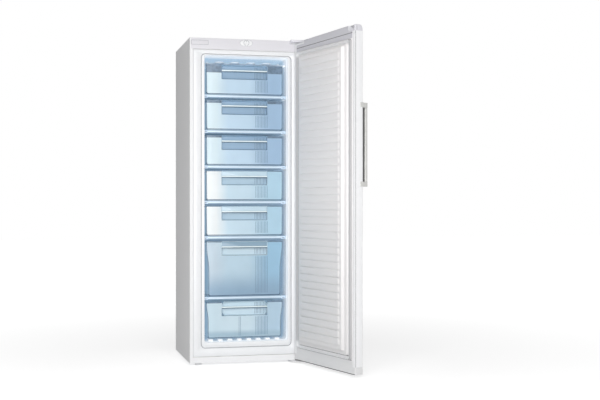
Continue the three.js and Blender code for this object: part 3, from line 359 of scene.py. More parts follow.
fascia_plastic = grained("grey fascia plastic", FASCIA_GREY)
white_plastic = coating("white plastic", PLASTIC_WHITE, 0.3, 0.42, mottle=0.02, bump=0.15)
# The grey of the scale's print also paints shade: the dark rings round the bezel and in the knob's groove,
# and the dark frame round the blanking plate.
print_and_painted_shade = coating("grey print and painted shade", PRINT_AND_SHADE_GREY, 0.45, 0.55, mottle=0.05)
black_plastic = coating("black plastic", BLACK, 0.4, 0.55, mottle=0.1)
dress("thermostat_body", black_plastic, 0.0006)


def loft(rings, closed_run=False):
    """Joins rings of equally many corners. The two ends are capped unless the run closes on itself."""
    count = len(rings[0])
    faces = []
    for run in range(len(rings) if closed_run else len(rings) - 1):
        near = run * count
        far = (run + 1) % len(rings) * count
        for i in range(count):
            following = (i + 1) % count
            faces.append((near + i, near + following, far + following, far + i))
    if not closed_run:
        last = (len(rings) - 1) * count
        faces += [tuple(range(count))[::-1], tuple(range(last, last + count))]
    return [corner for ring in rings for corner in ring], faces


def arc(a, b, radius, start, turn=math.pi / 2, steps=6):
    """Points along part of a circle round (a, b), from an angle and through a turn."""
    angles = [start + turn * step / steps for step in range(steps + 1)]
    return [(a + radius * math.cos(angle), b + radius * math.sin(angle)) for angle in angles]


def rounded_rect(low_a, high_a, low_b, high_b, radius, steps=6):
    """The outline of a rectangle with round corners."""
    points = []
    for number, (a, b) in enumerate(((high_a, low_b), (high_a, high_b), (low_a, high_b), (low_a, low_b))):
        centre_a = a + (radius if a == low_a else -radius)
        centre_b = b + (radius if b == low_b else -radius)
        points += arc(centre_a, centre_b, radius, math.pi / 2 * (number - 1), steps=steps)
    return points


def pillow(a, b, c, corner, edge, axis="y", steps=4):
    """A block with round corners in its outline and round edges at both ends of the given axis."""
    rounds = arc(0, 0, 1, 0, steps=steps)
    ends = [(edge * (1 - along), edge * (1 - out)) for out, along in rounds]
    places = [(inset, c[0] + back) for inset, back in ends]
    places += [(inset, c[1] - back) for inset, back in reversed(ends)]
    rings = []
    for inset, depth in places:
        outline = rounded_rect(a[0] + inset, a[1] - inset, b[0] + inset, b[1] - inset,
                               max(corner - inset, 0.0002))
        rings.append([tuple((u, v, depth)[i] for i in AXES[axis]) for u, v in outline])
    return loft(rings)


def lathe(profile, centre, axis="z", steps=48, stretch=1.0, closed_run=False):
    """A solid turned about an axis from (radius, height) points."""
    order = AXES[axis]
    rings = []
    for radius, height in profile:
        ring = []
        for step in range(steps):
            angle = math.tau * step / steps
            spot = (radius * math.cos(angle), radius * stretch * math.sin(angle), height)
            ring.append(tuple(centre[k] + spot[order[k]] for k in range(3)))
        rings.append(ring)
    return loft(rings, closed_run)


def middle(node):
    low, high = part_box(node)
    return (Vector(low) + Vector(high)) / 2


def about(centre, half):
    """From half a width before a centre to as much beyond it."""
    return centre - half, centre + half


def rectangle(a, b):
    """The four corners of a rectangle from its two spans."""
    return [(a[0], b[0]), (a[1], b[0]), (a[1], b[1]), (a[0], b[1])]


def doubled(profile, length):
    """Half a turned profile and its mirror image, up to the whole length."""
    return profile + [(radius, length - height) for radius, height in reversed(profile)]


low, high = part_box("control_fascia")
fascia_end = low[0] - FASCIA_OVERLAP
fascia_rings = []
for x, tuck in ((fascia_end, FASCIA_TUCK), (fascia_end + 0.0008, 0), (high[0] + FASCIA_OVERLAP_RIGHT, 0)):
    ring = [(x, high[1], low[2] + tuck), (x, high[1], high[2] - tuck)]
    for step in range(9):
        share = step / 8
        bulge = FASCIA_BULGE * (1 - (2 * share - 1) ** 2) - tuck
        ring.append((x, FRONT_Y - 0.0002 - bulge, high[2] - tuck - (high[2] - low[2] - 2 * tuck) * share))
    fascia_rings.append(ring)
assemble("curved_fascia", [loft(fascia_rings)], [fascia_plastic], "cabinet", "fascia_grey",
         ["control_fascia"])

low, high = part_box("thermostat_bezel")
dial = middle("thermostat_bezel")
half_wide = (high[0] - low[0]) / 2
oval = (high[2] - low[2]) / (high[0] - low[0])
rise = high[1] - low[1]
dome = [(ON_AXIS, 0), (half_wide, 0), (half_wide, -rise * 0.35), (half_wide - 0.0006, -rise * 0.75),
        (half_wide - 0.0022, -rise), (half_wide * 0.6, -rise * 0.93), (ON_AXIS, -rise * 0.9)]
# A dark ring round the bezel's foot, painted shadow.
shadow_gap = rectangle((ON_AXIS, half_wide + SHADOW_GAP), (0, -0.0006))
bezel_shells = [(*lathe(outline, (dial.x, high[1], dial.z), "y", 72, oval), mark)
                for mark, outline in enumerate((dome, shadow_gap))]
knob_low, knob_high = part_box("thermostat_knob")
knob_radius = (knob_high[0] - knob_low[0]) / 2
for mark in range(SCALE_MARKS):
    angle = math.pi / 2 + SCALE_SWEEP * (mark / (SCALE_MARKS - 1) - 0.5)
    reach = knob_radius + 0.0012
    x = dial.x + reach * math.cos(angle) * SCALE_OVAL[0]
    z = dial.z + reach * math.sin(angle) * SCALE_OVAL[1]
    if abs(z - dial.z) < (high[2] - low[2]) / 2 - 0.002:
        tick = pillow(about(x, TICK_HALF), about(z, TICK_HALF), (low[1] - 0.0003, low[1] + 0.0005), 0.0003,
                      0.0001)
        bezel_shells.append((*tick, 1))
assemble("thermostat_oval_bezel", bezel_shells, [white_plastic, print_and_painted_shade], "cabinet", "white_plastic",
         ["thermostat_bezel"])

depth = knob_high[1] - knob_low[1]
skirt = [(ON_AXIS, 0), (knob_radius, 0), (knob_radius, -depth * 0.36),
         (knob_radius - KNOB_RIM / 2, -depth * 0.48), (knob_radius - KNOB_RIM, -depth * 0.5),
         (knob_radius * 0.55, -depth * 0.42), (ON_AXIS, -depth * 0.42)]
grip = pillow(about(dial.x, knob_radius / 4.4), about(dial.z, knob_radius - 0.002),
              (knob_low[1], knob_high[1] - depth * 0.2), knob_radius / 4.5, 0.0012)
pointer = pillow(about(dial.x, 0.0011), (dial.z + knob_radius * 0.35, dial.z + knob_radius - 0.003),
                 (knob_low[1] - 0.0002, knob_low[1] + 0.001), 0.0004, 0.0001)
knob_foot = (dial.x, knob_high[1], dial.z)
# A dark grey ring where the knob's groove is, painted shade.
groove_radii = [knob_radius * share for share in KNOB_GROOVE]
groove = lathe(rectangle(groove_radii, (-depth * 0.53, -depth * 0.4)), knob_foot, "y", closed_run=True)
assemble("thermostat_round_knob", [lathe(skirt, knob_foot, "y"), grip, (*pointer, 1), (*groove, 1)],
         [white_plastic, print_and_painted_shade], "dial", "white_plastic", ["thermostat_knob"])

low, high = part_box("blanking_plate")
plate_x = (low[0] + PLATE_ASIDE, high[0] + PLATE_ASIDE)
plate_z = (low[2] + PLATE_LOWER, high[2] + PLATE_LOWER)
plate = pillow(plate_x, plate_z, (low[1] - 0.0008, high[1]), 0.002, 0.0008)
# A dark frame round the plate, painted shadow.
gap_x, gap_z = ((a - SHADOW_GAP, b + SHADOW_GAP) for a, b in (plate_x, plate_z))
gap = pillow(gap_x, gap_z, (low[1], high[1] + 0.0001), 0.003, 0.0001)
assemble("hinge_blanking_plate", [plate, (*gap, 1)], [fascia_plastic, print_and_painted_shade], "cabinet", "fascia_grey",
         ["blanking_plate"])

# Inner liner. One vacuum formed plastic tub: a flat front frame with a shallow step and a fine groove
# round the opening, ledges for the shelves, ribs on its floor, and a hump over the compressor.
LINER_WHITE = (0.885, 0.895, 0.91)
DEEP_SHADE_BLUE = (0.58, 0.7, 0.8)
PAINTED_GLOW = 0.44
WALL_GLOW_SHARE = 0.36
LIP_GLOW_SHARE = 1.1
LIP_FROM = 0.032
LIP_TO = 0.05
BLUE_FROM = 0.07
BLUE_TO = 0.155
GLOW_FROM = 0.002
GLOW_TO = 0.020
LINER_WALL = 0.0015
STEP_OUTSET = 0.0175
STEP_DEPTH = 0.0025
STEP_UNDER = 0.0115
STEP_OVER = -0.011
STEP_RADIUS = 0.020
RIM_GROOVE = ((0.0030, 0), (0.0018, 0.0010), (0.0012, 0.0036), (-0.0010, 0.0039), (-0.0018, 0.0036),
              (-0.0028, STEP_DEPTH))
RIM_LINE = 0.0012
GROOVE_SHADE_GREY = (0.25, 0.26, 0.28)
OPENING_RADIUS = 0.014
BESIDE_TRIM = 0.0003
FLOOR_BELOW_FRONT = 0.0126
CEILING_ABOVE_FRONT = 0.011
HUMP_HEIGHT = 0.288
HUMP_ROUND = 0.014
HUMP_BEHIND_TUB = 0.017
SUNK_IN_WALL = 0.0008
LEDGE_WIDTH = 0.009
LEDGE_HEIGHT = 0.008
LEDGE_FROM = 0.08
FLOOR_RIBS = 8
FLOOR_RIB_PITCH = 0.051
FLOOR_RIB_HALF = 0.013
FLOOR_RIB_FROM = 0.065


def paint(finish, colour):
    """Leads a colour made by other shader nodes into a finish."""
    texture = next(node for node in finish.node_tree.nodes if node.type == "GROUP")
    finish.node_tree.links.new(colour, texture.inputs["Colour"])


def between(tree, share, low_colour, high_colour):
    """A colour that turns from one into another as the share goes from 0 to 1."""
    low_end, high_end = (colour if isinstance(colour, bpy.types.NodeSocket) else (*colour, 1)
                         for colour in (low_colour, high_colour))
    return add_node(tree, "ShaderNodeMix", {0: share, 6: low_end, 7: high_end}, data_type="RGBA").outputs[2]


def along_axes(tree, kind="Object"):
    """The three parts of a place or a direction."""
    return add_node(tree, "ShaderNodeSeparateXYZ", {0: coordinates(tree, kind)}).outputs


def liner_painted_light_finish():
    """White plastic with a painted blue shade deeper in the cavity, and a painted glow from a little way in:
    full under its ceiling and near the lip, weaker on the deeper walls and floor.
    """
    finish = coating("formed liner plastic, painted glow and shade", LINER_WHITE, 0.22, 0.34, mottle=0.02, patch=0.3,
                     grain_size=0.0015)
    tree = finish.node_tree
    shader = tree.nodes["Principled BSDF"]
    inward = along_axes(tree)[1]
    deeper = remap(tree, inward, FRONT_Y + BLUE_FROM, FRONT_Y + BLUE_TO, smooth=True)
    painted_blue_shade = between(tree, deeper, LINER_WHITE, DEEP_SHADE_BLUE)
    paint(finish, painted_blue_shade)
    tree.links.new(painted_blue_shade, shader.inputs["Emission Color"])
    glow = remap(tree, inward, FRONT_Y + GLOW_FROM, FRONT_Y + GLOW_TO, to_high=PAINTED_GLOW)
    lip = remap(tree, inward, FRONT_Y + LIP_FROM, FRONT_Y + LIP_TO, LIP_GLOW_SHARE, WALL_GLOW_SHARE)
    ceiling = remap(tree, along_axes(tree, "Normal")[2], -0.9, -0.2, 1.0, lip)
    tree.links.new(arithmetic(tree, "MULTIPLY", glow, ceiling), shader.inputs["Emission Strength"])
    return finish


# The liner's finish is painted light and shade: a blue shade that deepens into the cavity, and a glow of its
# own.
liner_plastic_painted_light = liner_painted_light_finish()
painted_groove_shade = coating("painted groove shade", GROOVE_SHADE_GREY, 0.5, 0.6, mottle=0.1, patch=0.05)
liner_low, liner_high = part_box("inner_liner")
trims = [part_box(f"shelf_trim_{i}") for i in range(1, 7)]
opening_half = (trims[0][1][0] - trims[0][0][0]) / 2 + BESIDE_TRIM
cavity_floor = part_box("drawer_front_7")[0][2] - FLOOR_BELOW_FRONT
cavity_top = 2 * trims[0][1][2] - trims[1][1][2] + CEILING_ABOVE_FRONT
cavity_back = liner_high[1] - LINER_WALL


def opening_ring(outset, depth, radius, under=0.0, over=0.0):
    """A ring round the cavity's opening, in the liner's plane or behind it."""
    outline = rounded_rect(MID_X - opening_half - outset, MID_X + opening_half + outset,
                           cavity_floor - outset - under, cavity_top + outset + over, radius)
    return [(x, FRONT_Y + depth, z) for x, z in outline]


def step_ring(outset, depth):
    """A ring along the outer edge of the step round the opening."""
    return opening_ring(STEP_OUTSET + outset, depth, STEP_RADIUS + outset, STEP_UNDER, STEP_OVER)


def frame_ring(inset, depth):
    """A ring along the liner's outer edge."""
    outline = rounded_rect(liner_low[0] + inset, liner_high[0] - inset, liner_low[2] + inset,
                           liner_high[2] - inset, 0.001)
    return [(x, FRONT_Y + depth, z) for x, z in outline]


def band(rings):
    """An open skin between rings, with its last ring filled."""
    corners, faces = loft(rings)
    return corners, faces[:-2] + [faces[-1]]


def thicken(skin):
    """Gives an open skin its wall, on the side that its normals point to."""
    wall = skin.modifiers.new("liner wall", "SOLIDIFY")
    wall.thickness = LINER_WALL
    wall.offset = 1


inner_depth = cavity_back - FRONT_Y
liner_rings = [frame_ring(inset, depth) for inset, depth in
               ((0, 0.0038), (0.0008, 0.0022), (0.002, 0.0006), (0.0036, 0))]
liner_rings += [step_ring(outset, depth) for outset, depth in RIM_GROOVE]
liner_rings += [opening_ring(outset, depth, OPENING_RADIUS + outset) for outset, depth in
                ((0.0018, STEP_DEPTH), (0.0009, 0.0029), (0.0003, 0.0038), (0, 0.006), (0, 0.05), (0, 0.11),
                 (0, inner_depth - 0.012), (-0.002, inner_depth - 0.005), (-0.006, inner_depth - 0.0012),
                 (-0.012, inner_depth))]
liner_skin = assemble("liner_skin", [band(liner_rings)], [liner_plastic_painted_light], "cabinet", "liner_white",
                      ["inner_liner"], sharp=50)
thicken(liner_skin)

hump_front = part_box("drawer_tub_7")[1][1] + HUMP_BEHIND_TUB
hump_outline = [(hump_front, cavity_floor - 0.001)]
hump_outline += arc(hump_front + HUMP_ROUND, HUMP_HEIGHT - HUMP_ROUND, HUMP_ROUND, math.pi, -math.pi / 2)
hump_outline += [(cavity_back - 0.001, HUMP_HEIGHT), (cavity_back - 0.001, cavity_floor - 0.001)]
liner_shells = [prism(hump_outline, "x", *about(MID_X, opening_half + SUNK_IN_WALL))]
for name in (*(f"shelf_{number}" for number in range(1, 7)), "top"):
    low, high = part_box(f"evaporator_{name}")
    ledge_z = (low[2] - 0.0003 - LEDGE_HEIGHT, low[2] - 0.0003)
    ledge_y = (FRONT_Y + LEDGE_FROM, high[1] - 0.002)
    for side in (-1, 1):
        ledge_x = sorted(MID_X + side * (opening_half + beyond) for beyond in (SUNK_IN_WALL, -LEDGE_WIDTH))
        liner_shells.append(pillow(ledge_x, ledge_z, ledge_y, 0.002, 0.002))
for number in range(FLOOR_RIBS):
    x = MID_X + (number - (FLOOR_RIBS - 1) / 2) * FLOOR_RIB_PITCH
    liner_shells.append(pillow(about(x, FLOOR_RIB_HALF), (cavity_floor - 0.004, cavity_floor + 0.008),
                               (FRONT_Y + FLOOR_RIB_FROM, hump_front - 0.005), 0.0058, 0.005))
# A thin grey ring in the groove round the step, painted shade.
rim_line = [step_ring(outset, depth) for outset, depth in
            ((RIM_LINE, 0.0041), (RIM_LINE, 0.0033), (-RIM_LINE, 0.0033), (-RIM_LINE, 0.0041))]
liner_shells.append((*loft(rim_line, True), 1))
assemble("liner_ledges", liner_shells, [liner_plastic_painted_light, painted_groove_shade], "cabinet", "liner_white", sharp=50)

# Cooling shelves. Under the ceiling and under each shelf lies one bent steel tube that carries the
# cold, welded to two cross rods and a row of thin wires, all coated white.
TUBE_RADIUS = 0.004
TUBE_PASSES = 10
TUBE_PITCH = 0.0426
TURN_STEPS = 7
ROD_RADIUS = 0.0025
WIRE_RADIUS = 0.0008
WIRE_PITCH = 0.030
WIRE_INSET = 0.012
TUBE_WHITE = (0.72, 0.79, 0.85)

tube_white = coating("white coated tube", TUBE_WHITE, 0.3, 0.42, mottle=0.05, patch=0.04, grain_size=0.002)


def sweep(path, radius, sides=10):
    """A round bar along a line of points."""
    line = [Vector(point) for point in path]
    ways = [(after - before).normalized() for before, after in zip(line, line[1:])]
    along = [ways[0]] + [(a + b).normalized() for a, b in zip(ways, ways[1:])] + [ways[-1]]
    side = along[0].orthogonal().normalized()
    circle = arc(0, 0, 1, 0, math.tau, sides)[:-1]
    rings = []
    for spot, way in zip(line, along):
        side = (side - way * side.dot(way)).normalized()
        other = way.cross(side)
        rings.append([tuple(spot + (side * a + other * b) * radius) for a, b in circle])
    return loft(rings)


def winding(passes, spacing, low, high):
    """A flat winding line of straight passes along its second axis, joined by half circles."""
    bend = spacing / 2
    points = []
    for number in range(passes):
        across = (number - (passes - 1) / 2) * spacing
        way = 1 if number % 2 == 0 else -1
        start, end = (low + bend, high - bend)[::way]
        points += [(across, start), (across, end)]
        if number < passes - 1:
            points += arc(across + bend, end, bend, math.pi, -math.pi * way, TURN_STEPS)[1:-1]
    return points


for name in ("top", *(f"shelf_{i}" for i in range(1, 7))):
    low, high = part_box(f"evaporator_{name}")
    level = high[2] - TUBE_RADIUS
    path = winding(TUBE_PASSES, TUBE_PITCH, low[1] + TUBE_RADIUS, high[1] - TUBE_RADIUS)
    shells = [sweep([(MID_X + a, b, level) for a, b in path], TUBE_RADIUS)]
    for y in (low[1] + TUBE_PITCH * 0.7, high[1] - TUBE_PITCH * 0.7):
        shells.append(sweep([(x, y, low[2] + ROD_RADIUS) for x in (low[0], high[0])], ROD_RADIUS))
    for number in range(int((high[1] - low[1]) / WIRE_PITCH)):
        y = low[1] + WIRE_PITCH * (number + 0.75)
        z = level - TUBE_RADIUS - WIRE_RADIUS / 2
        shells.append(sweep([(x, y, z) for x in (low[0] + WIRE_INSET, high[0] - WIRE_INSET)], WIRE_RADIUS, 6))
    assemble(f"cooling_tube_{name}", shells, [tube_white], "cabinet", "tube_white", [f"evaporator_{name}"],
             sharp=50)

# Shelf trims. A pale blue plastic rail with a rounded nose closes the front of each shelf, and a
# lighter clip with a slot holds each of its ends to the liner's wall.
TRIM_BLUE = (0.27, 0.38, 0.5)
NOSE_HIGHLIGHT = (0.66, 0.8, 0.92)
CLIP_BLUE = (0.62, 0.76, 0.9)
SLOT_SHADOW_BLUE = (0.06, 0.1, 0.17)
TRIM_WALL = 0.002
TRIM_BEND = 0.004
TRIM_CLIP = 0.026
TRIM_PROUD = 0.002
NOSE_DROP = 0.0035
NOSE_HEIGHT = 0.0105
NOSE_PROUD = 0.0016
SLOT_FROM_END = 0.006
SLOT_LENGTH = 0.013
SLOT_HEIGHT = 0.0022

trim_looks = [
    coating("pale blue trim", TRIM_BLUE, 0.2, 0.3, mottle=0.05),
    coating("painted highlight on trim nose", NOSE_HIGHLIGHT, 0.15, 0.25),
    coating("pale blue clip", CLIP_BLUE, 0.2, 0.3, mottle=0.04),
    coating("slot shadow blue", SLOT_SHADOW_BLUE, 0.5, 0.6, mottle=0.05),
]
for number, (low, high) in enumerate(trims, 1):
    face = low[1] + TRIM_PROUD
    rail_x = (low[0] + 0.001, high[0] - 0.001)
    line = [(high[1] - 0.004, high[2]), (face, high[2]), (face, low[2]), (high[1] - 0.010, low[2])]
    # The nose is tinted lighter than the rail, a painted highlight.
    nose_top = high[2] - NOSE_DROP
    nose = pillow(rail_x, (nose_top - NOSE_HEIGHT, nose_top), (face - NOSE_PROUD, face + 0.004), 0.0036,
                  NOSE_PROUD)
    shells = [prism(bent_sheet(line, TRIM_BEND, TRIM_WALL, 6), "x", *rail_x), (*nose, 1)]
    for side, wall in ((-1, low[0]), (1, high[0])):
        clip_x = sorted((wall, wall - side * TRIM_CLIP))
        clip_z = (low[2] + 0.0015, high[2] - 0.002)
        shells.append((*pillow(clip_x, clip_z, (low[1], high[1]), 0.003, 0.0018), 2))
        # Each slot is a dark block on the clip's face, painted shadow.
        slot_x = sorted((wall - side * SLOT_FROM_END, wall - side * (SLOT_FROM_END + SLOT_LENGTH)))
        slot_z = about((low[2] + high[2]) / 2 - 0.002, SLOT_HEIGHT / 2)
        shells.append((*pillow(slot_x, slot_z, (low[1] - 0.0002, low[1] + 0.002), 0.0008, 0.0002), 3))
    assemble(f"shelf_rail_{number}", shells, trim_looks, "cabinet", "shelf_ice", [f"shelf_trim_{number}"],
             sharp=40)

# Drawers. Each is a clear pale blue moulding: a front plate with a sunk finger pocket under a grip bar,
# flutes down its right part and a bead round its edge, fused to an open tub. The bar's brightness and the
# darkness of the bead, flutes, pocket and top strips are painted light and shade, as are the tints across
# each front and from row to row, and the tub's glow.
# Each row of fronts has its own lit or shaded copy of the tints, painted light and shade. The two lowest
# fronts are painted darker towards the foot, the pockets darker in the upper rows, and the panels above the
# bars pale or deep.
ICE = ((0.67, 0.81, 0.87), (0.6, 0.78, 0.93), (0.4, 0.57, 0.76))
PALE = ((0.84, 0.88, 0.89), (0.62, 0.79, 0.9), (0.5, 0.72, 0.86))
TALL = ((0.56, 0.68, 0.77), (0.54, 0.71, 0.82), (0.37, 0.6, 0.78))
LOWEST = ((0.61, 0.76, 0.84), (0.66, 0.81, 0.89), (0.5, 0.67, 0.8))
TALL_FOOT = ((0.3, 0.45, 0.6), (0.365, 0.50))
LOWEST_FOOT = ((0.4, 0.55, 0.65), (0.150, 0.180))
POCKET_ICE = (0.4, 0.57, 0.74)
POCKET_PALE = (0.56, 0.74, 0.87)
POCKET_LIGHT = (0.72, 0.88, 0.97)
PANEL_DEEP = (0.3, 0.44, 0.56)
STRIP_SHADE_BLUE = (0.2, 0.29, 0.4)
PANEL_PALE = (0.62, 0.79, 0.9)
UNDER_BAR = (0.13, 0.21, 0.29)
POCKET_SHADE_LINE = (0.12, 0.19, 0.27)
FLUTE_BLUE = (0.24, 0.36, 0.49)
BAR_HIGHLIGHT = (0.88, 0.99, 1.0)
DRAWER_EDGE_SHADE = (0.07, 0.12, 0.19)
TUB_PALE = (0.55, 0.72, 0.84)
TUB_PAINTED_GLOW = 0.12
PLATE_WALL = 0.003
PLATE_BACK = 0.0006
TUB_WALL = 0.002
POCKET_WIDTH = 0.244
POCKET_HEIGHT = 0.075
POCKET_DEPTH = 0.025
POCKET_CORNER = 0.006
LOWEST_CORNER = 0.016
BAR_DROP = 0.0265
BAR_HEIGHT = 0.0062
BAR_DEPTH = 0.012
BAR_SHADE = 0.0045
POCKET_BEAD = 0.0011
FRONT_CORNER = 0.012
FRONT_GROWTH = 0.0035
NARROWING = (0.0015, 0.0015, 0.0015, 0.0015, 0.0015, 0.013, 0.0095)
TUB_DRAFT = 0.005
RIM_RADIUS = 0.0021
SIDE_BEAD = 0.0018
FOOT_BEAD = 0.0034
FLUTE_FROM = 0.060
FLUTE_TO = 0.125
FLUTE_PITCH = 0.0078
FLUTE_HALF = 0.0012
FLUTE_PROUD = 0.0009
CLEAR_STRIPS = (0.042, 0.016, 0.012, 0.004, 0.004, 0.006, 0.008)
SEAM_FROM_MIDDLE = -0.030
SEAM_WIDTH = 0.008


def clear_plastic(name, left, middle_tint, right, opacity_left, opacity_right, mottle=0.04, patch=0.08,
                  glow=0.0, foot=None):
    """Clear tinted plastic. Its tint and opacity change across, lightest at the left as a painted reflection
    and darker to the right as painted shade, and below the foot's span it takes the foot's painted shade. A
    glow, if given, is painted light.
    """
    finish = coating(name, left, 0.08, 0.16, mottle=mottle, patch=patch, grain_size=0.004, bump=0.06)
    tree = finish.node_tree
    shader = tree.nodes["Principled BSDF"]
    across, _, height = along_axes(tree)
    rightward = remap(tree, across, MID_X - 0.2, MID_X + 0.2)
    tint = add_node(tree, "ShaderNodeValToRGB", {0: rightward})
    stops = tint.color_ramp.elements
    stops[0].position, stops[0].color = 0.12, (*left, 1)
    stops[1].position, stops[1].color = 0.8, (*right, 1)
    for position in (0.28, 0.56):
        stops.new(position).color = (*middle_tint, 1)
    colour = tint.outputs[0]
    if foot:
        foot_tint, foot_span = foot
        colour = between(tree, remap(tree, height, *foot_span, smooth=True), foot_tint, colour)
    paint(finish, colour)
    plain = remap(tree, rightward, to_low=opacity_left, to_high=opacity_right)
    facing = add_node(tree, "ShaderNodeLayerWeight", {"Blend": 0.35}).outputs["Facing"]
    tree.links.new(remap(tree, facing, to_low=plain, to_high=0.97), shader.inputs["Alpha"])
    tree.links.new(colour, shader.inputs["Emission Color"])
    shader.inputs["Emission Strength"].default_value = glow
    return finish


def clear_tint(name, colour, opacity, **settings):
    """Clear plastic of one tint."""
    return clear_plastic(name, colour, colour, colour, opacity, opacity, **settings)


ice_front = clear_plastic("clear ice front", *ICE, 0.93, 0.8)
pale_front = clear_plastic("clear pale front", *PALE, 0.95, 0.82)
tall_front = clear_plastic("clear tall front", *TALL, 0.9, 0.84, foot=TALL_FOOT)
lowest_front = clear_plastic("clear lowest front", *LOWEST, 0.9, 0.84, foot=LOWEST_FOOT)
ice_pocket = clear_tint("clear ice pocket", POCKET_ICE, 0.85)
pale_pocket = clear_tint("clear pale pocket", POCKET_PALE, 0.88)
light_pocket = clear_tint("clear light pocket", POCKET_LIGHT, 0.88)
painted_shade_strip = clear_tint("painted shade strip", STRIP_SHADE_BLUE, 0.86, mottle=0.35, patch=0.02)
bar_shade = clear_tint("shade under the bar", UNDER_BAR, 0.85)
highlight_clear = clear_tint("clear plastic, painted highlight", BAR_HIGHLIGHT, 0.96)
panel_clear = clear_tint("clear upper panel", PANEL_PALE, 0.9)
panel_deep = clear_tint("clear deep panel", PANEL_DEEP, 0.88)
painted_edge_shade = coating("painted edge shade", DRAWER_EDGE_SHADE, 0.1, 0.2, mottle=0.1)
painted_pocket_line = clear_tint("painted shade round pocket", POCKET_SHADE_LINE, 0.9)
flute_clear = clear_tint("clear flutes", FLUTE_BLUE, 0.75)
# The tubs glow a little, painted light.
tub_clear = clear_tint("clear tub, painted glow", TUB_PALE, 0.4, glow=TUB_PAINTED_GLOW)
# Which painted light and shade each row of drawers gets.
FRONT_LOOKS = [(ice_front, ice_pocket, panel_clear)] * 3 + [(pale_front, pale_pocket, panel_clear)] * 2
FRONT_LOOKS += [(tall_front, light_pocket, panel_deep), (lowest_front, light_pocket, panel_deep)]
POCKET, BAR, BEAD, FLUTE, STRIP, SHADE, PANEL, LINE = range(1, 9)


def half_front(share, low_half, top_half, curved):
    """Half the width of a drawer front at a share of its height."""
    if curved:
        share = min(max((share - 0.45) / 0.5, 0), 1)
        share *= share * (3 - 2 * share)
    return low_half + (top_half - low_half) * share


def right_edge(low, high, low_half, top_half, curved):
    """The right edge of a drawer front from its bottom corner up."""
    points = arc(low_half - FRONT_CORNER, low + FRONT_CORNER, FRONT_CORNER, -math.pi / 2)
    for step in range(1, 13):
        z = low + FRONT_CORNER + (high - 0.003 - low - FRONT_CORNER) * step / 12
        points.append((half_front(step / 12, low_half, top_half, curved), z))
    return points + [(top_half - 0.001, high - 0.001), (top_half - 0.003, high)]


def edge_at(edge, level):
    """Half the width of the front at a level."""
    for (x_low, z_low), (x_high, z_high) in zip(edge, edge[1:]):
        if z_low <= level <= z_high:
            return x_low + (x_high - x_low) * (level - z_low) / max(z_high - z_low, 1e-6)
    return edge[-1][0]


def both_sides(half, first=-1):
    """A line down one side of the middle and back up the other, from the points of its one half."""
    there = [(MID_X + first * x, *rest) for x, *rest in half]
    return there + [(MID_X - first * x, *rest) for x, *rest in half[::-1]]


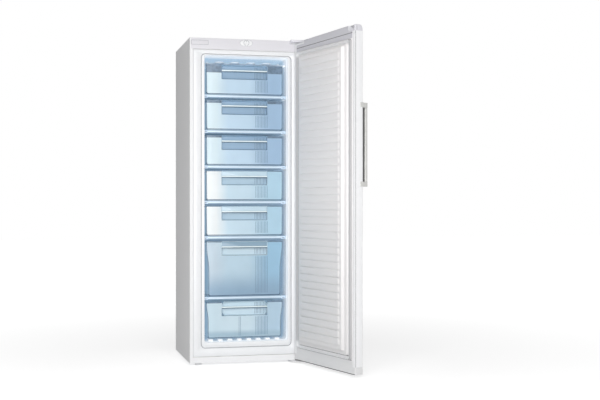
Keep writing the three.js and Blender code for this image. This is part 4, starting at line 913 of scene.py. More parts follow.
for number in range(1, 8):
    low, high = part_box(f"drawer_front_{number}")
    face = low[1]
    plate_y = (face + PLATE_BACK, face + PLATE_WALL)
    lowest = number == 7
    top_half = (high[0] - low[0]) / 2 + FRONT_GROWTH
    edge = right_edge(low[2], high[2], top_half - NARROWING[number - 1], top_half, number > 5)
    half_pocket = POCKET_WIDTH / 2
    notch = half_pocket + 0.001
    pocket_low = high[2] - POCKET_HEIGHT
    # Dark strips beside the pocket at the top of each front, painted shade.
    strip_low = high[2] - CLEAR_STRIPS[number - 1]
    strip_half = edge_at(edge, strip_low)
    below = [point for point in edge if point[1] < strip_low]
    below += [(strip_half, strip_low), (notch, strip_low), (notch, pocket_low - 0.001)]
    shells = [prism(both_sides(below, 1), "y", *plate_y)]
    above = [(notch, strip_low), (strip_half, strip_low)] + [point for point in edge if point[1] > strip_low]
    above.append((notch, high[2]))
    for side in (-1, 1):
        shells.append((*prism([(MID_X + side * x, z) for x, z in above], "y", *plate_y), STRIP))

    corner, steps = (LOWEST_CORNER, 1) if lowest else (POCKET_CORNER, 4)
    tray = []
    for grow_by, depth in ((0.002, POCKET_DEPTH + 0.002), (0.002, 0.0008), (0.0012, 0.0), (0.0, 0.0008),
                           (-0.001, POCKET_DEPTH - 0.004), (-0.005, POCKET_DEPTH)):
        ring = rounded_rect(*about(MID_X, half_pocket + grow_by), pocket_low - grow_by,
                            high[2] - TUB_WALL + grow_by, corner + grow_by, steps)
        tray.append([(x, face + depth, z) for x, z in ring])
    shells.append((*loft(tray), POCKET))
    # The grip bar is tinted near white, a painted highlight.
    bar_top = high[2] - BAR_DROP
    bar_low = bar_top - BAR_HEIGHT
    bar_x = about(MID_X, half_pocket)
    shells.append((*pillow(bar_x, (bar_low, bar_top), (face, face + BAR_DEPTH), 0.0025, 0.0016), BAR))
    shells.append((*pillow(bar_x, (bar_low - BAR_SHADE, bar_low + 0.001), (face + 0.002, face + BAR_DEPTH),
                           0.001, 0.0006), SHADE))
    if 3 < number < 7:
        shells.append((*pillow(about(MID_X, half_pocket - 0.001), (bar_top + 0.0005, high[2] - 0.003),
                               (face + 0.003, face + 0.005), 0.001, 0.0006), PANEL))
    # A dark line round the pocket's edge, painted shade.
    cuts = [(0, LOWEST_CORNER), (LOWEST_CORNER, 0)] if lowest else [(0, 0)]
    half_run = [(half_pocket, bar_low)] + [(half_pocket - x, pocket_low + z) for x, z in cuts]
    pocket_run = both_sides([(x, face + POCKET_BEAD, z) for x, z in half_run])
    shells.append((*sweep(pocket_run, POCKET_BEAD, 6), LINE))
    # The bead down the sides and along the foot of each front is dark, painted shade.
    for side in (-1, 1):
        path = [(MID_X + side * (x - SIDE_BEAD), face + SIDE_BEAD, z) for x, z in edge[6:-1]]
        shells.append((*sweep(path, SIDE_BEAD, 8), BEAD))
    foot_line = [(x - FOOT_BEAD * 0.6, face + FOOT_BEAD, max(z, low[2] + FOOT_BEAD)) for x, z in edge[6:0:-1]]
    shells.append((*sweep(both_sides(foot_line), FOOT_BEAD), BEAD))
    # The flutes are tinted darker than the plate, painted shade.
    for k in range(int((FLUTE_TO - FLUTE_FROM) / FLUTE_PITCH) + 1):
        from_middle = FLUTE_FROM + k * FLUTE_PITCH
        x_span = about(MID_X + from_middle, FLUTE_HALF)
        in_pocket = from_middle < half_pocket + 0.004
        top = pocket_low - 0.006 if in_pocket else high[2] - 0.012
        shells.append((*pillow(x_span, (low[2] + 0.014, top),
                               (face + PLATE_BACK - FLUTE_PROUD * 0.6, face + 0.002), 0.001, 0.0006), FLUTE))
        if in_pocket and from_middle < half_pocket - 0.006:
            back = face + POCKET_DEPTH
            shells.append((*pillow(x_span, (pocket_low + 0.006, high[2] - 0.008),
                                   (back - FLUTE_PROUD, back + 0.001), 0.001, 0.0006), FLUTE))
    if lowest:
        for aside in (SEAM_FROM_MIDDLE, SEAM_FROM_MIDDLE + SEAM_WIDTH):
            shells.append((*pillow(about(MID_X + aside, 0.001), (low[2] + 0.012, pocket_low - 0.004),
                                   (face, face + 0.002), 0.0008, 0.0005), FLUTE))
    front_look, pocket_look, panel_look = FRONT_LOOKS[number - 1]
    looks = [front_look, pocket_look, highlight_clear, painted_edge_shade, flute_clear, painted_shade_strip, bar_shade, panel_look,
             painted_pocket_line]
    assemble(f"clear_front_{number}", shells, looks, f"drawer_{number}", "drawer_blue",
             [f"drawer_front_{number}"], sharp=40)

    low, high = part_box(f"drawer_tub_{number}")
    rim_half = (high[0] - low[0]) / 2
    foot_half = rim_half - TUB_DRAFT
    wall_line = arc(foot_half - FRONT_CORNER, low[2] + FRONT_CORNER, FRONT_CORNER, -math.pi / 2)
    wall_line.append((rim_half, high[2]))
    outer_u = both_sides(wall_line[::-1])
    inner_u = []
    for x, z in outer_u:
        lift = TUB_WALL if z < high[2] - 0.001 else 0
        inner_u.append((MID_X + (x - MID_X) * (1 - TUB_WALL / rim_half), z + lift))
    trough = prism(outer_u + inner_u[::-1], "y", low[1], high[1] - 0.001)
    back_wall = prism(inner_u, "y", high[1] - TUB_WALL, high[1] - 0.0002)
    # The rim round the tub takes the same painted highlight.
    rim_x = rim_half - 0.0022
    half_rim = [(x, y, high[2] - 0.0022) for x, y in
                ((rim_x, low[1] + 0.001), (rim_x, high[1] - 0.008), (rim_x - 0.006, high[1] - 0.0022))]
    assemble(f"clear_tub_{number}", [trough, back_wall, (*sweep(both_sides(half_rim), RIM_RADIUS, 8), 1)],
             [tub_clear, highlight_clear], f"drawer_{number}", "tub_clear", [f"drawer_tub_{number}"], sharp=40)

# Refrigeration at the back. A black painted condenser tube, with a row of wires welded across it,
# comes from the compressor on its rubber mounts, winds up the back and returns through a copper
# filter drier. The compressor's relay is in a box beside it.
BLACK_PAINT = (0.018, 0.018, 0.02)
COPPER = (0.72, 0.4, 0.24)
RUBBER_BLACK = (0.035, 0.036, 0.04)
PIPE_RADIUS = 0.0026
PIPE_PASSES = 17
PIPE_PITCH = 0.074
COIL_HALF = 0.230
COIL_ABOVE_COMPARTMENT = 0.070
COMPARTMENT_BELOW_HUMP = 0.050
WIRE_SPACING = 0.016
CAN_RADIUS = 0.076
CAN_SHOULDER = 0.034
CAN_SEAM = 0.003
RAIL_HALF = 0.105
RAIL_DEPTH_HALF = 0.060
GROMMET_RADIUS = 0.009
CAN_ABOVE_MOUNTS = 0.012
DRIER_RADIUS = 0.010

black_paint = coating("black painted steel", BLACK_PAINT, 0.28, 0.42, mottle=0.15, patch=0.05,
                      grain_size=0.0012)
copper_tube = coating("copper", COPPER, 0.18, 0.34, mottle=0.2, patch=0.01, grain_size=0.002, metallic=1.0)
rubber = coating("black rubber", RUBBER_BLACK, 0.7, 0.85, mottle=0.15, patch=0.01, grain_size=0.0008,
                 bump=0.4)

low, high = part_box("condenser")
compartment_top = HUMP_HEIGHT - COMPARTMENT_BELOW_HUMP
coil_y = high[1] - 0.0045
coil_low = compartment_top + COIL_ABOVE_COMPARTMENT
aside_x = high[0] - PIPE_RADIUS - MID_X
coil = [(MID_X - up, coil_y, coil_low + (PIPE_PASSES - 1) * PIPE_PITCH / 2 + across)
        for across, up in winding(PIPE_PASSES, PIPE_PITCH, -COIL_HALF, COIL_HALF)]
coil_high = coil[-1][2]
low_can, high_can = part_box("compressor")
can = middle("compressor")
can_base = low_can[2] + CAN_ABOVE_MOUNTS
can_side = can.x + CAN_RADIUS
drier = middle("filter_drier")
drier_low, drier_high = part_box("filter_drier")
inlet = [(can_side + x, can.y + y, can_base + z) for x, y, z in
         ((-0.001, 0.012, 0.086), (0.018, 0.02, 0.088), (0.028, 0.028, 0.096), (0.030, 0.03, 0.11))]
inlet += [(can_side + 0.030, can.y + y, compartment_top - z) for y, z in ((0.03, 0.036), (0.036, 0.026))]
inlet += [(can_side + 0.032, coil_y - 0.008, compartment_top - 0.012),
          (can_side + 0.040, coil_y, compartment_top - 0.004)]
inlet += [(MID_X + aside_x - x, coil_y, z) for x, z in
          ((0.014, compartment_top + 0.004), (0.003, compartment_top + 0.010), (0, compartment_top + 0.018),
           (0, coil_low - 0.012), (0.003, coil_low - 0.003), (0.010, coil_low))]
outlet = [(MID_X - aside_x + x, coil_y, z) for x, z in
          ((0.010, coil_high), (0.003, coil_high - 0.003), (0, coil_high - 0.012),
           (0, compartment_top + 0.014), (0.004, compartment_top + 0.004))]
outlet += [(drier.x - x, coil_y, z) for x, z in
           ((0.004, compartment_top - 0.012), (0, compartment_top - 0.022), (0, drier_high[2] - 0.001))]
shells = [sweep([*inlet, *coil, *outlet], PIPE_RADIUS, 8)]
wire_count = int((2 * COIL_HALF - PIPE_PITCH) / WIRE_SPACING)
for k in range(wire_count + 1):
    x = MID_X - (wire_count / 2 - k) * WIRE_SPACING
    for y in about(coil_y, PIPE_RADIUS + 0.0004):
        shells.append(sweep([(x, y, z) for z in (coil_low - 0.012, coil_high + 0.012)], WIRE_RADIUS, 5))
for side in (-1, 1):
    x = MID_X + side * COIL_HALF * 2 / 3
    shells.append(pillow((x - 0.002, x + 0.005), (coil_low - 0.010, coil_high + 0.010),
                         (coil_y + PIPE_RADIUS - 0.001, coil_y + PIPE_RADIUS + 0.0018), 0.0006, 0.0004))
assemble("condenser_coil", shells, [black_paint], "cabinet", "black_paint", ["condenser"], sharp=50)

can_height = high_can[2] - can_base
profile = [(ON_AXIS, 0)] + arc(CAN_RADIUS - CAN_SHOULDER, CAN_SHOULDER, CAN_SHOULDER, -math.pi / 2, steps=8)
seam = [(CAN_RADIUS + out, can_height / 2 - 0.001 + up) for out, up in
        ((0, 0), (CAN_SEAM, 0.0008), (CAN_SEAM, 0.0036), (0, 0.0044))]
whole = doubled(profile, can_height)
whole[len(profile):len(profile)] = seam
shells = [lathe(whole, (can.x, can.y, can_base), steps=64),
          pillow(about(can.x, RAIL_HALF), about(can.y, RAIL_DEPTH_HALF), (can_base, can_base + 0.003), 0.010,
                 0.001, "z")]
bush = [(ON_AXIS, 0), (GROMMET_RADIUS, 0), (GROMMET_RADIUS, 0.011), (GROMMET_RADIUS - 0.002, 0.0125),
        (GROMMET_RADIUS - 0.002, 0.0155), (GROMMET_RADIUS, 0.0165), (GROMMET_RADIUS - 0.001, 0.018),
        (ON_AXIS, 0.018)]
for x in about(can.x, RAIL_HALF - GROMMET_RADIUS - 0.003):
    for y in about(can.y, RAIL_DEPTH_HALF - GROMMET_RADIUS - 0.003):
        shells.append((*lathe(bush, (x, y, low_can[2]), steps=24), 1))
for height, swing in ((0.058, 0.9), (0.050, -0.6)):
    spout = Vector((math.cos(swing), math.sin(swing), 0))
    start = Vector((can.x, can.y, can_base + height)) + spout * (CAN_RADIUS - 0.001)
    path = [start + spout * out + Vector((0, 0, up)) for out, up in
            ((0, 0), (0.010, 0), (0.014, 0.004), (0.015, 0.012))]
    shells.append((*sweep(path, 0.003), 2))
assemble("compressor_can", shells, [black_paint, rubber, copper_tube], "cabinet", "black_paint",
         ["compressor"])

profile = [(ON_AXIS, 0), (PIPE_RADIUS, 0), (PIPE_RADIUS + 0.0005, 0.004), (DRIER_RADIUS * 0.75, 0.009),
           (DRIER_RADIUS, 0.014)]
drier_tube = lathe(doubled(profile, drier_high[2] - drier_low[2]), (drier.x, drier.y, drier_low[2]), steps=32)
assemble("drier_tube", [drier_tube], [copper_tube], "cabinet", "copper", ["filter_drier"], sharp=50)
low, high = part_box("start_relay")
relay = pillow((low[0], high[0]), (low[2], high[2]), (low[1], high[1]), 0.006, 0.003)
relay_lid = pillow((low[0] + 0.006, high[0] - 0.006), (low[2] + 0.010, high[2] - 0.010),
                   (high[1] - 0.001, high[1] + 0.0008), 0.004, 0.0008)
assemble("relay_box", [relay, relay_lid], [black_plastic], "cabinet", "dark_plastic", ["start_relay"])

# Feet, rollers and cord gland. A pale plastic foot on a threaded stud stands under each front corner,
# a black roller turns on its axle under each rear corner, and a rubber ring lines the cord's hole.
THREAD_PITCH = 0.0015
THREAD_RADII = (0.0044, 0.005)
FOOT_HEIGHT = 0.0085
FOOT_FLATS = 8
WHEEL_RIM = 0.0016
WHEEL_CLEARANCE = 0.004
AXLE_RADIUS = 0.003

for side in ("left", "right"):
    low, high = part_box(f"foot_{side}")
    spot = middle(f"foot_{side}")
    base = (spot.x, spot.y, low[2])
    tall = high[2] - low[2]
    wide = (high[0] - low[0]) / 2
    pad = [(ON_AXIS, 0), (wide - 0.0015, 0), (wide, 0.0012), (wide, FOOT_HEIGHT - 0.002),
           (wide - 0.002, FOOT_HEIGHT), (wide * 0.4, FOOT_HEIGHT + 0.001), (ON_AXIS, FOOT_HEIGHT + 0.001)]
    stud = [(ON_AXIS, FOOT_HEIGHT - 0.001)]
    for k in range(int((tall - FOOT_HEIGHT) / THREAD_PITCH)):
        z = FOOT_HEIGHT + k * THREAD_PITCH
        stud += [(THREAD_RADII[0], z), (THREAD_RADII[1], z + THREAD_PITCH / 2)]
    stud += [(0.0042, tall), (ON_AXIS, tall)]
    flats = []
    for x, y in arc(spot.x, spot.y, wide - 0.0012, math.pi / FOOT_FLATS, math.tau, FOOT_FLATS)[:-1]:
        flats.append(pillow(about(x, 0.001), about(y, 0.001), (low[2] + 0.0015, low[2] + 0.006), 0.0004,
                            0.0004, "z"))
    assemble(f"screw_foot_{side}", [lathe(pad, base, steps=40), (*lathe(stud, base, steps=24), 1), *flats],
             [white_plastic, zinc_sheet], f"foot_{side}", "white_plastic", [f"foot_{side}"], sharp=40)

    low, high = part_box(f"roller_{side}")
    hub = middle(f"roller_{side}")
    wheel = (high[2] - low[2]) / 2
    axle_half = (high[0] - low[0]) / 2
    half_wheel = axle_half - WHEEL_CLEARANCE
    tread = doubled([(AXLE_RADIUS, -half_wheel + 0.003), (wheel * 0.45, -half_wheel + 0.003),
                     (wheel * 0.5, -half_wheel), (wheel - WHEEL_RIM, -half_wheel),
                     (wheel, -half_wheel + WHEEL_RIM)], 0)
    tread[5:5] = [(wheel, -0.001), (wheel - 0.0006, 0), (wheel, 0.001)]
    axle = doubled([(ON_AXIS, -axle_half), (0.0025, -axle_half), (AXLE_RADIUS, -axle_half + 0.0006)], 0)
    assemble(f"wheel_{side}", [lathe(tread, hub, "x", 40), (*lathe(axle, hub, "x", 40), 1)],
             [black_plastic, zinc_sheet], f"roller_{side}", "dark_plastic", [f"roller_{side}"], sharp=40)
dress("cord_gland", rubber)

# Hinges. A steel plate on the top and one under the cabinet each carry a pin for the door. A pale
# plastic cover hides the upper one, and a thin skirt closes the front edge below it.
COVER_LILAC = (0.86, 0.855, 0.9)
SKIRT_HEIGHT = 0.0135

dress("top_hinge", grained("hinge cover plastic", COVER_LILAC, 0.35, 0.48), 0.0018, 3)
low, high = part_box("top_hinge")
skirt_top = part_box("control_fascia")[1][2] + 0.0005
skirt_low = skirt_top - SKIRT_HEIGHT
skirt_x = (low[0] + 0.001, right_side[1][0] - 0.0008)
skirt_front = pillow(skirt_x, (skirt_low, skirt_top), (FRONT_Y - 0.0034, FRONT_Y), 0.002, 0.0012)
# A dark line under the skirt, painted shadow.
skirt_shade = pillow(skirt_x, (skirt_low - 0.0022, skirt_low + 0.001), (FRONT_Y - 0.0026, FRONT_Y), 0.0008,
                     0.0004)
assemble("hinge_cover_skirt", [skirt_front, (*skirt_shade, 1)], [white_plastic, print_and_painted_shade], "cabinet",
         "fascia_grey")
dress("bottom_hinge", enamel, 0.0006)

# Door. A white folded steel sheet and a ribbed plastic liner close a foam core, and a soft gasket runs
# round the liner. Each piece is drawn closed, from the hinge pin, and then turned open.
CAP_GREY = (0.66, 0.655, 0.7)
CAP_PALE = (0.77, 0.765, 0.81)
SEAL_HINGE_SHADE = (0.56, 0.56, 0.57)
SEAL_HINGE_CREST_SHADE = (0.4, 0.4, 0.41)
SEAL_PALE = (0.83, 0.83, 0.84)
SEAL_LIT = (0.82, 0.82, 0.83)
SEAL_LIP = (0.46, 0.46, 0.47)
DOOR_WHITE = (0.93, 0.933, 0.945)
DOOR_INNER = (0.91, 0.89, 0.89)
DOOR_INNER_SHADED_LOW = (0.79, 0.78, 0.78)
SKIRT_WHITE = (0.8, 0.8, 0.805)
GAP_SHADE_GREY = (0.08, 0.08, 0.085)
EDGE_SHADE = (0.16, 0.16, 0.165)
POCKET_SHADE = (0.58, 0.575, 0.61)
DOOR_HEM = 0.021
DOOR_BEND = 0.0028
DOOR_LINER_STEPS = ((0.0225, 0), (0.0212, 0.0006), (0.0205, 0.002), (0.0194, 0.009), (0.0186, 0.010),
                    (0.0170, 0.0105), (-0.0035, 0.0105), (-0.0055, 0.0111), (-0.0064, 0.0135),
                    (-0.0082, 0.0225), (-0.0092, 0.0242), (-0.0112, 0.025))
LEDGE_OUTSET = 0.0170
WALL_DOWN = 0.0165
WALL_UP = 0.0065
FIELD_RADIUS = 0.005
RIB_INSET = 0.027
RIB_PITCH = 0.0368
RIB_RISE = 0.0034
RIB_RISE_LOW = 0.0054
RIB_STEPS = 16
RIB_END = 0.04
RIB_SHARES = (0, 0.004, 0.012, 0.024, 0.04, 0.5, 0.96, 0.976, 0.988, 0.996, 1)
GASKET_WIDTH = 0.029
GASKET_LOW = (0.016, 0.62)
GASKET_HIGH = (0.027, 0.586)
GASKET_PROFILE = ((0.0, 0.0), (0.0004, 0.1), (0.004, 0.16), (0.009, 0.2), (0.013, 0.36), (0.0165, 0.66),
                  (0.019, 0.93), (0.021, 1.0), (0.0235, 0.96), (0.0262, 0.72), (0.028, 0.42), (0.0288, 0.16),
                  (0.0286, 0.0))
SEAL_CREST = 7

hinge = next(joint for joint in frame["joints"] if joint["name"] == "door_hinge")
PIN = Vector(hinge["pos_m"])
HANG = Matrix.Translation(PIN) @ Matrix.Rotation(math.radians(-hinge["range_deg"][0]), 4, "Z")
CLOSE = HANG.inverted()


def closed_box(node):
    """The node's box with the door closed, from the hinge pin, and with its height from the floor."""
    made = frame["nodes"][node]
    spots = [CLOSE @ (made.matrix_world @ vertex.co) for vertex in made.data.vertices]
    return tuple([end(spot[k] for spot in spots) for k in range(3)] for end in (min, max))


def hang(name, shells, finishes, slot, replaced=(), **settings):
    """One piece of the door, drawn closed and turned open."""
    return assemble(name, shells, finishes, "door", slot, replaced, turn=HANG, **settings)


def blend_up(finish, low_colour, high_colour, from_z, to_z, off_middle=None):
    """Blends a finish between two colours with height, or with the distance from a middle height."""
    tree = finish.node_tree
    height = along_axes(tree)[2]
    if off_middle is not None:
        height = arithmetic(tree, "ABSOLUTE", arithmetic(tree, "SUBTRACT", height, off_middle))
    paint(finish, between(tree, remap(tree, height, from_z, to_z), low_colour, high_colour))


cap_plastic = grained("grey cap plastic", CAP_GREY)
cap_pale = grained("pale plug plastic", CAP_PALE)
door_skirt = coating("door skirt plastic", SKIRT_WHITE, 0.35, 0.45, bump=0.15)
edge_shade = coating("shaded edge", EDGE_SHADE, 0.5, 0.6, mottle=0.1)
pocket_shade = coating("shaded pocket", POCKET_SHADE, 0.45, 0.55, mottle=0.05)
seals = [coating(name, colour, 0.55, 0.68, mottle=0.05, patch=0.02, grain_size=0.0008, bump=0.2)
         for name, colour in (("seal, painted shade by the hinge", SEAL_HINGE_SHADE), ("seal crest, painted shade by the hinge", SEAL_HINGE_CREST_SHADE),
                              ("pale seal", SEAL_LIT), ("pale seal lip", SEAL_LIP))]
door_enamel = coating("door enamel", DOOR_WHITE, 0.3, 0.4, mottle=0.02, patch=0.35, grain_size=0.0025,
                      bump=0.12)
door_plastic = coating("door liner plastic", DOOR_INNER, 0.26, 0.38, mottle=0.02, patch=0.3,
                       grain_size=0.0015)
painted_gap_shade = coating("painted gap shade", GAP_SHADE_GREY, 0.5, 0.6, mottle=0.1)
# The door liner is painted darker towards the bottom, as shade.
blend_up(door_plastic, DOOR_INNER_SHADED_LOW, DOOR_INNER, 0.15, 0.95)

low, high = closed_box("door_panel")
line = [(low[0] + DOOR_HEM, high[1]), (low[0], high[1]), (low[0], low[1]), (high[0], low[1]),
        (high[0], high[1]), (high[0] - DOOR_HEM, high[1])]
# A dark strip on the free edge, near its inner corner, painted shade of the gap there.
gap_shade_strip = pillow((low[0] - 0.0001, low[0] + 0.001), (high[1] - 0.0056, high[1] - 0.0030),
                    (low[2] + 0.001, high[2] - 0.001), 0.0004, 0.0001, "z")
hang("door_skin", [prism(bent_sheet(line, DOOR_BEND, SHEET, 6), "z", low[2], high[2]), (*gap_shade_strip, 1)],
     [door_enamel, painted_gap_shade], "case_white", ["door_panel"])

liner_low, liner_high = closed_box("door_liner")
door_mid = MID_X - PIN.x
inner_face = liner_low[1] + LINER_WALL


def door_ring(outset, height, radius):
    """A ring of the liner's field. Its outer wall stands closer to the opening above and below."""
    outer = outset > LEDGE_OUTSET - 0.0001
    outline = rounded_rect(*about(door_mid, opening_half + outset),
                           cavity_floor - outset - PIN.z + (WALL_UP if outer else 0),
                           cavity_top + outset - PIN.z - (WALL_DOWN if outer else 0), radius)
    return [(x, inner_face + height, z) for x, z in outline]


def plate_outline(low, high):
    """The nearly square outline of a plate in the door, seen from the front."""
    return rounded_rect(low[0], high[0], low[2], high[2], 0.001)


liner_rings = [[(x, inner_face, z) for x, z in plate_outline(liner_low, liner_high)]]
liner_rings += [door_ring(outset, height, FIELD_RADIUS + max(outset, 0) * 0.4)
                for outset, height in DOOR_LINER_STEPS]
liner_rings.append(door_ring(-0.020, 0.025, 0.008))
foam_low, foam_high = closed_box("door_foam")
foam_rings = [[(x, y, z) for x, z in plate_outline(foam_low, foam_high)]
              for y in (foam_low[1], inner_face - LINER_WALL - 0.0002)]
foam_rings += [door_ring(outset, height, FIELD_RADIUS) for outset, height in
               ((LEDGE_OUTSET, -LINER_WALL - 0.0001), (LEDGE_OUTSET, 0.0040), (-0.0085, 0.0085),
                (-0.0135, 0.0228))]
hang("door_foam_fill", [loft(foam_rings)], [foam], "foam", ["door_foam"])
thicken(hang("door_liner_skin", [band(liner_rings)], [door_plastic], "liner_white", ["door_liner"], sharp=50))

field_low, field_high = about(door_mid, opening_half - RIB_INSET)
rib_low = cavity_floor + RIB_INSET - PIN.z
rib_high = cavity_top - RIB_INSET - PIN.z
rib_count = int((rib_high - rib_low) / RIB_PITCH)
rib_start = (rib_low + rib_high - rib_count * RIB_PITCH) / 2
ribs = []
for number in range(rib_count):
    centre = rib_start + (number + 0.5) * RIB_PITCH
    full_rise = RIB_RISE_LOW + (RIB_RISE - RIB_RISE_LOW) * min(number / rib_count * 1.6, 1)
    rings = []
    for share in RIB_SHARES:
        from_end = min(share, 1 - share) / RIB_END
        swell = math.sqrt(max(1 - (1 - min(from_end, 1)) ** 2, 0))
        half = RIB_PITCH / 2 * (0.45 + 0.55 * swell)
        x = field_low + (field_high - field_low) * share
        ring = [(x, inner_face + 0.0235, z) for z in about(centre, half)]
        for step in range(RIB_STEPS + 1):
            across = 1 - 2 * step / RIB_STEPS
            rise = full_rise * (1 - abs(across) ** 4) * swell
            ring.append((x, inner_face + 0.0249 + rise, centre + across * half))
        rings.append(ring)
    ribs.append(loft(rings))
hang("door_liner_ribs", ribs, [door_plastic], "liner_white", sharp=60)

low, high = closed_box("door_gasket")
half_tall = (high[2] - low[2]) / 2
# Beside the hinge the seal is painted grey as shade, and it blends into its own pale colour near the top and
# bottom. The outer half of the crest is darker.
for finish, colour in ((seals[0], SEAL_HINGE_SHADE), (seals[1], SEAL_HINGE_CREST_SHADE)):
    blend_up(finish, colour, SEAL_PALE, half_tall - 0.060, half_tall - 0.045, PIN.z + (low[2] + high[2]) / 2)
rings = []
for outward, share in GASKET_PROFILE:
    inset = GASKET_WIDTH - outward
    outline = rounded_rect(low[0] + inset, high[0] - inset, low[2] + GASKET_LOW[0] + inset * GASKET_LOW[1],
                           high[2] - GASKET_HIGH[0] - inset * GASKET_HIGH[1], 0.004 + outward * 0.3)
    rings.append([(x, low[1] + (high[1] - low[1]) * share, z) for x, z in outline])
corners, faces = loft(rings, True)
seal_marks = []
for number, face in enumerate(faces):
    lip = 1 if SEAL_CREST <= number // len(rings[0]) < len(rings) - 1 else 0
    free_side = all(corners[corner][0] < low[0] + GASKET_WIDTH + 0.002 for corner in face)
    seal_marks.append(lip + (2 if free_side else 0))
hang("door_seal", [(corners, faces, seal_marks)], seals, "seal", ["door_gasket"], sharp=50)

# Door caps. The grey upper one droops toward the hinge, with a pocket there, and has a pocket painted as
# shade, with a sloping block, before its lighter free end. The lower one is white, with dark strips painted
# as shade at its foot and above it. A flat apron of each lies on the door's inner face.
CROWN_DEPTH = 0.016
CROWN_HEIGHT = 0.026
HINGE_POCKET_LENGTH = 0.100
HINGE_POCKET_DEPTH = 0.016
HINGE_SHADE_SPAN = (0.095, 0.14)
HINGE_TAB = 0.072
SPARE_POCKET = (0.541, 0.592)
SPARE_DEPTH = 0.0095
SPARE_HEIGHT = 0.019
HOOD_DROP = 0.016
EDGE_RADIUS = 0.003
CAP_DROOP = 0.012
APRON_LOW = 0.034
APRON_SHADE_LINE = (0.0145, 0.0065)
SHADE_LINE_HEIGHT = 0.0032
LOWER_APRON = 0.0325
WALL_FOOT = 0.0515
KICK_SHADE = 0.0045
LINE_HALF = 0.002

low, high = closed_box("door_cap_top")


def cap_outline(inner):
    """The cap's section across the door, up to an inner face. The outer upper edge is rounded."""
    base, top = low[2], high[2]
    points = [(low[1], base), (inner, base), (inner, top - 0.002), (inner - 0.0006, top - 0.0006),
              (inner - 0.002, top)]
    for out, up in arc(0, 0, 1, math.pi / 2, steps=8):
        points.append((low[1] + CROWN_DEPTH + CROWN_DEPTH * out, top - CROWN_HEIGHT + CROWN_HEIGHT * up))
    return points


def cap_run(outline, near, far, ends=0.0):
    """A length of the cap between two distances from its hinge edge, with a rounded end."""
    centre = [sum(point[k] for point in outline) / len(outline) for k in range(2)]
    runs = [(near, 0.0), (far, 0.0)]
    if ends:
        runs[1:] = [(far - ends + ends * out, ends * (1 - back)) for back, out in arc(0, 0, 1, 0, steps=4)]
    rings = []
    for place, inset in runs:
        ring = []
        droop = CAP_DROOP * max(1 - place / SPARE_POCKET[0], 0)
        for a, b in outline:
            pull_in = math.copysign(inset, a - centre[0])
            pull_down = inset if b > centre[1] else 0
            sink = droop * max((b - low[2]) / (high[2] - low[2]), 0)
            ring.append((high[0] - place, a - pull_in, b - pull_down - sink))
        rings.append(ring)
    return loft(rings)


length = high[0] - low[0]
full = cap_outline(high[1])
pocket_top = high[2] - HINGE_POCKET_DEPTH
beside_hinge = [(low[1], low[2]), (high[1], low[2]), (high[1], pocket_top), (low[1] + 0.001, pocket_top)]
block_y = (low[1] + 0.020, high[1] - 0.0003)
block_rings = []
for place, drop in ((SPARE_POCKET[0], 0.002), (SPARE_POCKET[1] - 0.006, SPARE_HEIGHT)):
    block_rings.append([(high[0] - place, y, z) for y, z in rectangle(block_y, (low[2], high[2] - drop))])
hood = rectangle((low[1] + 0.0006, high[1] - 0.0006), (low[2] - HOOD_DROP, low[2] + 0.002))
# A dark wedge on the cap's top near the hinge, painted shade.
wedge_top = high[2] - CAP_DROOP * (1 - HINGE_SHADE_SPAN[1] / SPARE_POCKET[0])
wedge_outline = [(high[0] - HINGE_SHADE_SPAN[end], wedge_top - drop)
               for end, drop in ((0, 0.0042), (1, 0.0062), (1, 0.0004), (0, 0.0022))]
hinge_shade_wedge = prism(wedge_outline, "y", high[1] - 0.001, high[1] + 0.0004)
tab_x = high[0] - HINGE_TAB
hinge_tab = pillow((tab_x - 0.003, tab_x), (high[1] - 0.002, high[1] + 0.0004),
                   (low[2] + 0.004, pocket_top - 0.007), 0.0006, 0.0004, "z")
spare_x = high[0] - SPARE_POCKET[0]
white_tab = pillow((spare_x - 0.0056, spare_x + 0.0004), (high[1] - SPARE_DEPTH, high[1] + 0.0006),
                   (low[2] + 0.007, high[2] - 0.0005), 0.0006, 0.0004, "z")
# A dark line down the cap's end, painted shade.
end_shade_line = pillow((low[0] - 0.00005, low[0] + 0.001), (high[1] - 0.0125, high[1] - 0.0105),
                    (low[2] + 0.003, high[2] - 0.006), 0.0005, 0.00005, "z")


def apron(tops, bases, front):
    """A flat strip down the door's inner face, whose edges may slope from the hinge to the free end."""
    rings = []
    for x, top, base in zip((liner_high[0] - 0.001, liner_low[0] + 0.001), tops, bases):
        section = rectangle((inner_face - 0.001, front), (low[2] - base, low[2] - top))
        rings.append([(x, y, z) for y, z in section])
    return loft(rings)


# A dark line across the upper apron, painted shade.
shade_line_low = [drop + SHADE_LINE_HEIGHT for drop in APRON_SHADE_LINE]
hang("door_top_moulding",
     [(*cap_run(beside_hinge, 0, HINGE_POCKET_LENGTH), 3),
      cap_run(full, HINGE_POCKET_LENGTH, SPARE_POCKET[0]),
      (*cap_run(cap_outline(high[1] - SPARE_DEPTH), *SPARE_POCKET), 4),
      (*loft(block_rings), 1),
      (*cap_run(full, SPARE_POCKET[1], length, EDGE_RADIUS), 1),
      (*cap_run(hood, length - 0.004, length - 0.0001, 0.0012), 1),
      (*hinge_shade_wedge, 4), (*hinge_tab, 3), (*white_tab, 3), (*end_shade_line, 2),
      apron((-0.001, -0.001), APRON_SHADE_LINE, high[1] + 0.0012),
      (*apron([drop - 0.001 for drop in APRON_SHADE_LINE], shade_line_low, inner_face + 0.0009), 2),
      apron(shade_line_low, (APRON_LOW, APRON_LOW), inner_face + 0.0012)],
     [cap_plastic, cap_pale, edge_shade, white_plastic, pocket_shade], "cap_grey", ["door_cap_top"])

low, high = closed_box("door_cap_bottom")
lower_cap = pillow((low[0], high[0]), (low[1], high[1]), (low[2], high[2]), 0.0025, 0.0015, "z")
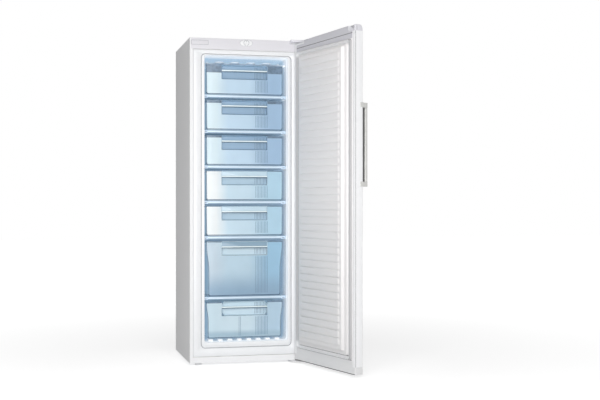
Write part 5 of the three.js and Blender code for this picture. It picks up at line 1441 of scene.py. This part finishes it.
# A dark strip along the foot of the lower cap, painted shade.
kick_edge = pillow((low[0] + 0.001, high[0] - 0.001), (high[1] - 0.004, high[1] + 0.0002),
                   (low[2], low[2] + KICK_SHADE), 0.0006, 0.0002, "z")
apron_top = high[2] + LOWER_APRON


def flat_strip(base, top, back, front, inset):
    """A level strip across the door's inner face."""
    outline = rectangle((inner_face - back, inner_face + front), (base, top))
    return prism(outline, "x", liner_low[0] + inset, liner_high[0] - inset)


# Two dark lines across the inner face above the lower cap, painted shade.
lines = [(*flat_strip(*about(z, LINE_HALF), 0.0005, proud, inset), 1) for z, inset, proud in
         ((apron_top, 0.010, 0.0012), (high[2] + WALL_FOOT, 0.036, 0.0022))]
hang("door_bottom_moulding",
     [lower_cap, flat_strip(high[2] - 0.001, apron_top, 0.001, 0.0004, 0.001), *lines, (*kick_edge, 1)],
     [door_skirt, edge_shade], "white_plastic", ["door_cap_bottom"])

# Handle. A brushed bar, whose door side is painted dark as its shade and dark reflection, stands off the
# outer face on two brackets that clamp round the door's free edge.
BRUSHED = (0.7, 0.7, 0.68)
BAR_SIDE_SHADE = (0.25, 0.25, 0.245)
BRACKET_PROUD = 0.003
STREAKS_PER_METRE = (900, 900, 12)


def brushed_metal(name, colour, metallic):
    """Metal with fine lines along the height from polishing."""
    finish = coating(name, colour, 0.28, 0.42, mottle=0.1, patch=0.02, metallic=metallic)
    tree = finish.node_tree
    lines = add_node(tree, "ShaderNodeMapping", {0: coordinates(tree), 3: STREAKS_PER_METRE})
    streak = add_node(tree, "ShaderNodeTexNoise", {"Vector": lines.outputs[0], "Scale": 1.0, "Detail": 2.0})
    shade = remap(tree, streak.outputs[0], 0.3, 0.7, 0.82, 1.0)
    tint = add_node(tree, "ShaderNodeVectorMath", {0: colour, 3: shade}, operation="SCALE")
    paint(finish, tint.outputs[0])
    return finish


brushed = brushed_metal("brushed handle", BRUSHED, 0.75)
painted_bar_side_shade = coating("painted shade on bar side", BAR_SIDE_SHADE, 0.45, 0.6, mottle=0.1)
low, high = closed_box("handle_bar")
bar_face = low[1]
bar_shell = pillow((low[0], high[0]), (low[1], high[1] - 0.0004), (low[2], high[2]), 0.004, 0.0004, "z")
bar_side_shade_strip = pillow((low[0] + 0.0002, high[0] - 0.0048), (high[1] - 0.002, high[1]),
               (low[2] + 0.0005, high[2] - 0.0005), 0.0004, 0.0003, "z")
hang("grip_bar", [bar_shell, (*bar_side_shade_strip, 1)], [brushed, painted_bar_side_shade], "brushed", ["handle_bar"])
neck = low[0] - BRACKET_PROUD
side, face = (edge - 0.0003 for edge in closed_box("door_panel")[0][:2])
for end in ("top", "bottom"):
    low, high = closed_box(f"handle_bracket_{end}")
    outside = max(low[1], bar_face - BRACKET_PROUD)
    line = [(side, high[1]), (low[0], high[1]), (low[0], face - 0.002), (neck, face - 0.010),
            (neck, outside + 0.006), (neck + 0.0018, outside + 0.0018), (neck + 0.006, outside),
            (high[0] - 0.006, outside), (high[0] - 0.0018, outside + 0.0018), (high[0], outside + 0.006),
            (high[0], face), (side, face)]
    cover = pillow((neck + 0.006, high[0] - 0.006), (low[2] + 0.004, high[2] - 0.004),
                   (outside, outside + 0.002), 0.003, 0.0005)
    hang(f"clamp_{end}", [prism(line, "z", low[2], high[2]), cover], [brushed], "brushed",
         [f"handle_bracket_{end}"], soften=0.0016, steps=3)
